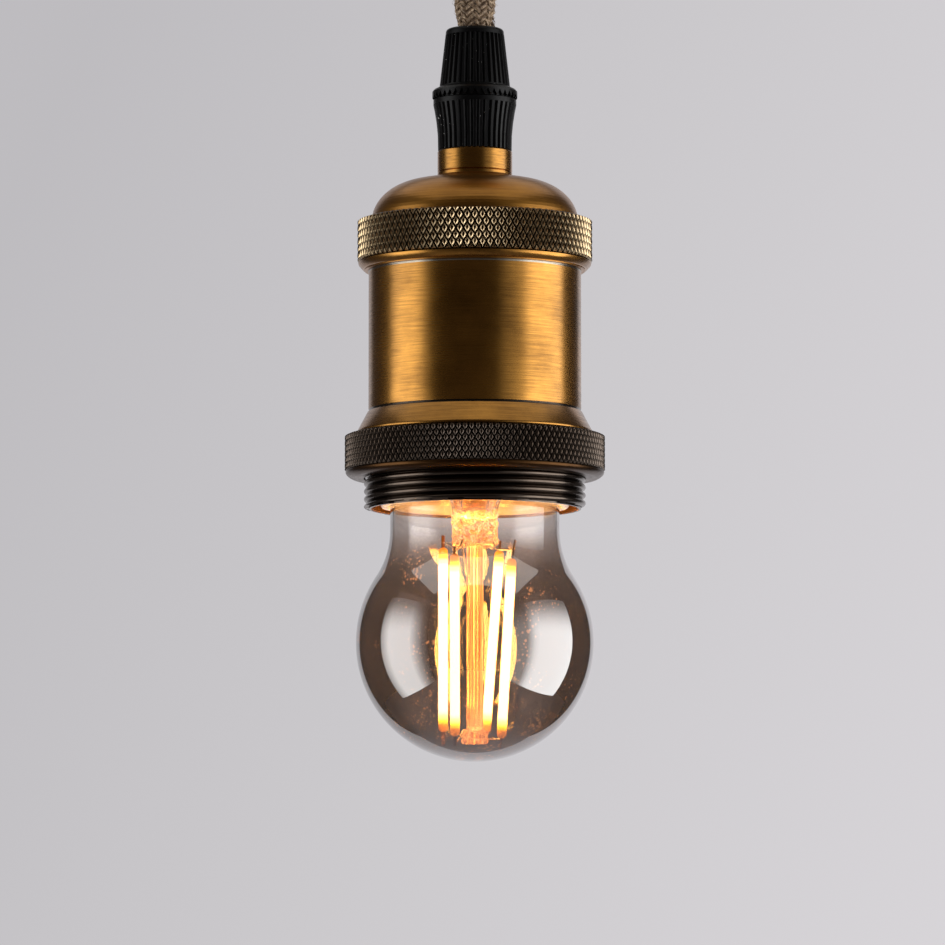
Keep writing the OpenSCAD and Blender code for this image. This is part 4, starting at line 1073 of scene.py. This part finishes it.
brown, blue, green = (moulded(name + "_insulation", colour, 0.4) for name, colour in (
    ("brown", (0.16, 0.06, 0.025)), ("blue", (0.02, 0.08, 0.35)), ("green", (0.10, 0.30, 0.04))))
outer = [(1.4, 0.8, -16), (1.4, 0.8, -15), (2.6, 0.2, -13.8), (5.4, -5, -12.8), (8, -10, -10.8),
         (8.3, -10.6, -8.2), (8, -8, POLE_Z), (8, -5, POLE_Z)]
middle = [(0, -1.7, -16), (0, -1.7, -15.2), (0, -2.6, -14.2), (0, -6.4, -13.2), (0, -10.2, -11), (0, -10.6, -8.2),
          (0, -8, POLE_Z), (0, -5, POLE_Z)]
live_run = [(1.6, 0, -134.5), (1.6, 0, -135.9), (4.6, -3.2, -138.95), (8.6, -9.2, TERMINAL_Z + 5),
            (9.4, -10.4, TERMINAL_Z + 1.6), (9.5, -8.6, TERMINAL_Z), (9.5, -3.4, TERMINAL_Z)]
earth_run = [(0, 2.2, -134.5), (0, 2.2, -135.7), (3.2, 3.2, -137.35), (7, 2.2, -137.35), (9.2, 0.6, -136.15),
             (9.6, 0, -135.15), (9.6, 0, -133.85)]
for name, run, look, stands_for, body in (
        ("supply_live", mirrored(outer), brown, None, "ceiling_fitting"),
        ("supply_earth", middle, green, None, "ceiling_fitting"),
        ("supply_neutral", outer, blue, "supply_cores", "ceiling_fitting"),
        ("holder_live", live_run, brown, "live_core", None),
        ("holder_neutral", mirrored(live_run), blue, "neutral_core", None),
        ("holder_earth", earth_run, green, "earth_core", "pendant")):
    tube = wire(name, run)
    enter(tube, stands_for, "core_insulation", body, look)
    if not body:
        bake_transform(tube)
    print(name, len(tube.data.polygons), "faces")


# %% The bulb's bare wires and tabs
def tab(top, foot, width, thick=0.22):
    """A flat metal tab from foot to top, its edges broken."""
    length = (Vector(top) - Vector(foot)).length
    piece = add_piece("tab", bpy.ops.mesh.primitive_cube_add, (width * MM, thick * MM, length * MM), size=1)
    mode("EDIT")
    select_all()
    bpy.ops.mesh.bevel(offset=0.05 * MM, segments=2)
    mode("OBJECT")
    return stand_between(piece, top, foot)


UPPER_RUNS = (
    [(-2.9, 1.9, -198.6), (-3.6, 2.4, -199.5), (-4.8, 3.3, -198.9), (-6.05, 4.4, -198.3)],
    [(-2.3, -3.4, -198.4), (-2.7, -4.3, -199.6), (-3.3, -5.6, -200.4), (-3.8, -6.6, -200.6)],
    [(2, 3.3, -198.5), (3, 4.3, -199.4), (4, 5.4, -199.2), (4.7, 6.6, -198.9)],
    [(3.3, -2.4, -198.6), (4.1, -3, -200.1), (5.6, -3.8, -200.3), (7.2, -4.6, -200.3)],
    [(-2.5, -1.8, -199.2), (-2, -1.5, -201.8), (-1.55, -1.2, -205)],
    [(2, -1.6, -199.3), (2.5, -2, -201.8), (2, -1.5, -205)])
LOWER_RUNS = (
    [(-2.2, -0.4, -235.7), (-4, 1.2, -235.8), (-5.9, 2.8, -235.9)],
    [(-2, -1.2, -234.2), (-2.8, -3, -235.6), (-3.5, -5.2, -236.6)],
    [(1.9, 0.6, -234.4), (2.3, 3, -235.4), (2.1, 5.6, -236.6)],
    [(2.2, -0.3, -235.9), (3.8, -1.8, -236), (5.4, -3, -236.1)])
TABS = (  # upper end, lower end and width of each tab
    ((-6.1, 4.5, -196.9), (-6.07, 4.47, -199.6), 0.75), ((-3.85, -6.75, -200), (-3.83, -6.74, -201.7), 0.7),
    ((4.9, 6.8, -197.8), (4.74, 6.74, -200), 0.75), ((7.6, -4.7, -198.5), (7, -4.55, -202.4), 0.95),
    ((-6.05, 3.05, -234.2), (-6.05, 3, -237.2), 0.8), ((-3.73, -5.56, -235.3), (-3.7, -5.5, -237.4), 0.75),
    ((2.09, 5.84, -234.2), (1.9, 5.8, -236.9), 0.75), ((4.99, -2.96, -235.6), (4.75, -2.9, -238.1), 0.9))
upper_wires = joined("upper_wires", *[wire("upper_wire", run, BARE_R) for run in UPPER_RUNS])
lower_wires = joined("lower_wires", *[wire("lower_wire", run, BARE_R) for run in LOWER_RUNS])
stick_tabs = joined("stick_tabs", *[tab(*sizes) for sizes in TABS])
enter(upper_wires, "upper_supports", "nickel", "bulb", nickel_plate)
enter(lower_wires, "lower_supports", "nickel", "bulb", nickel_plate)
enter(stick_tabs, "filament_tabs", "nickel", "bulb", raw_brass)
print("wires and tabs", [len(p.data.polygons) for p in (upper_wires, lower_wires, stick_tabs)], "faces")
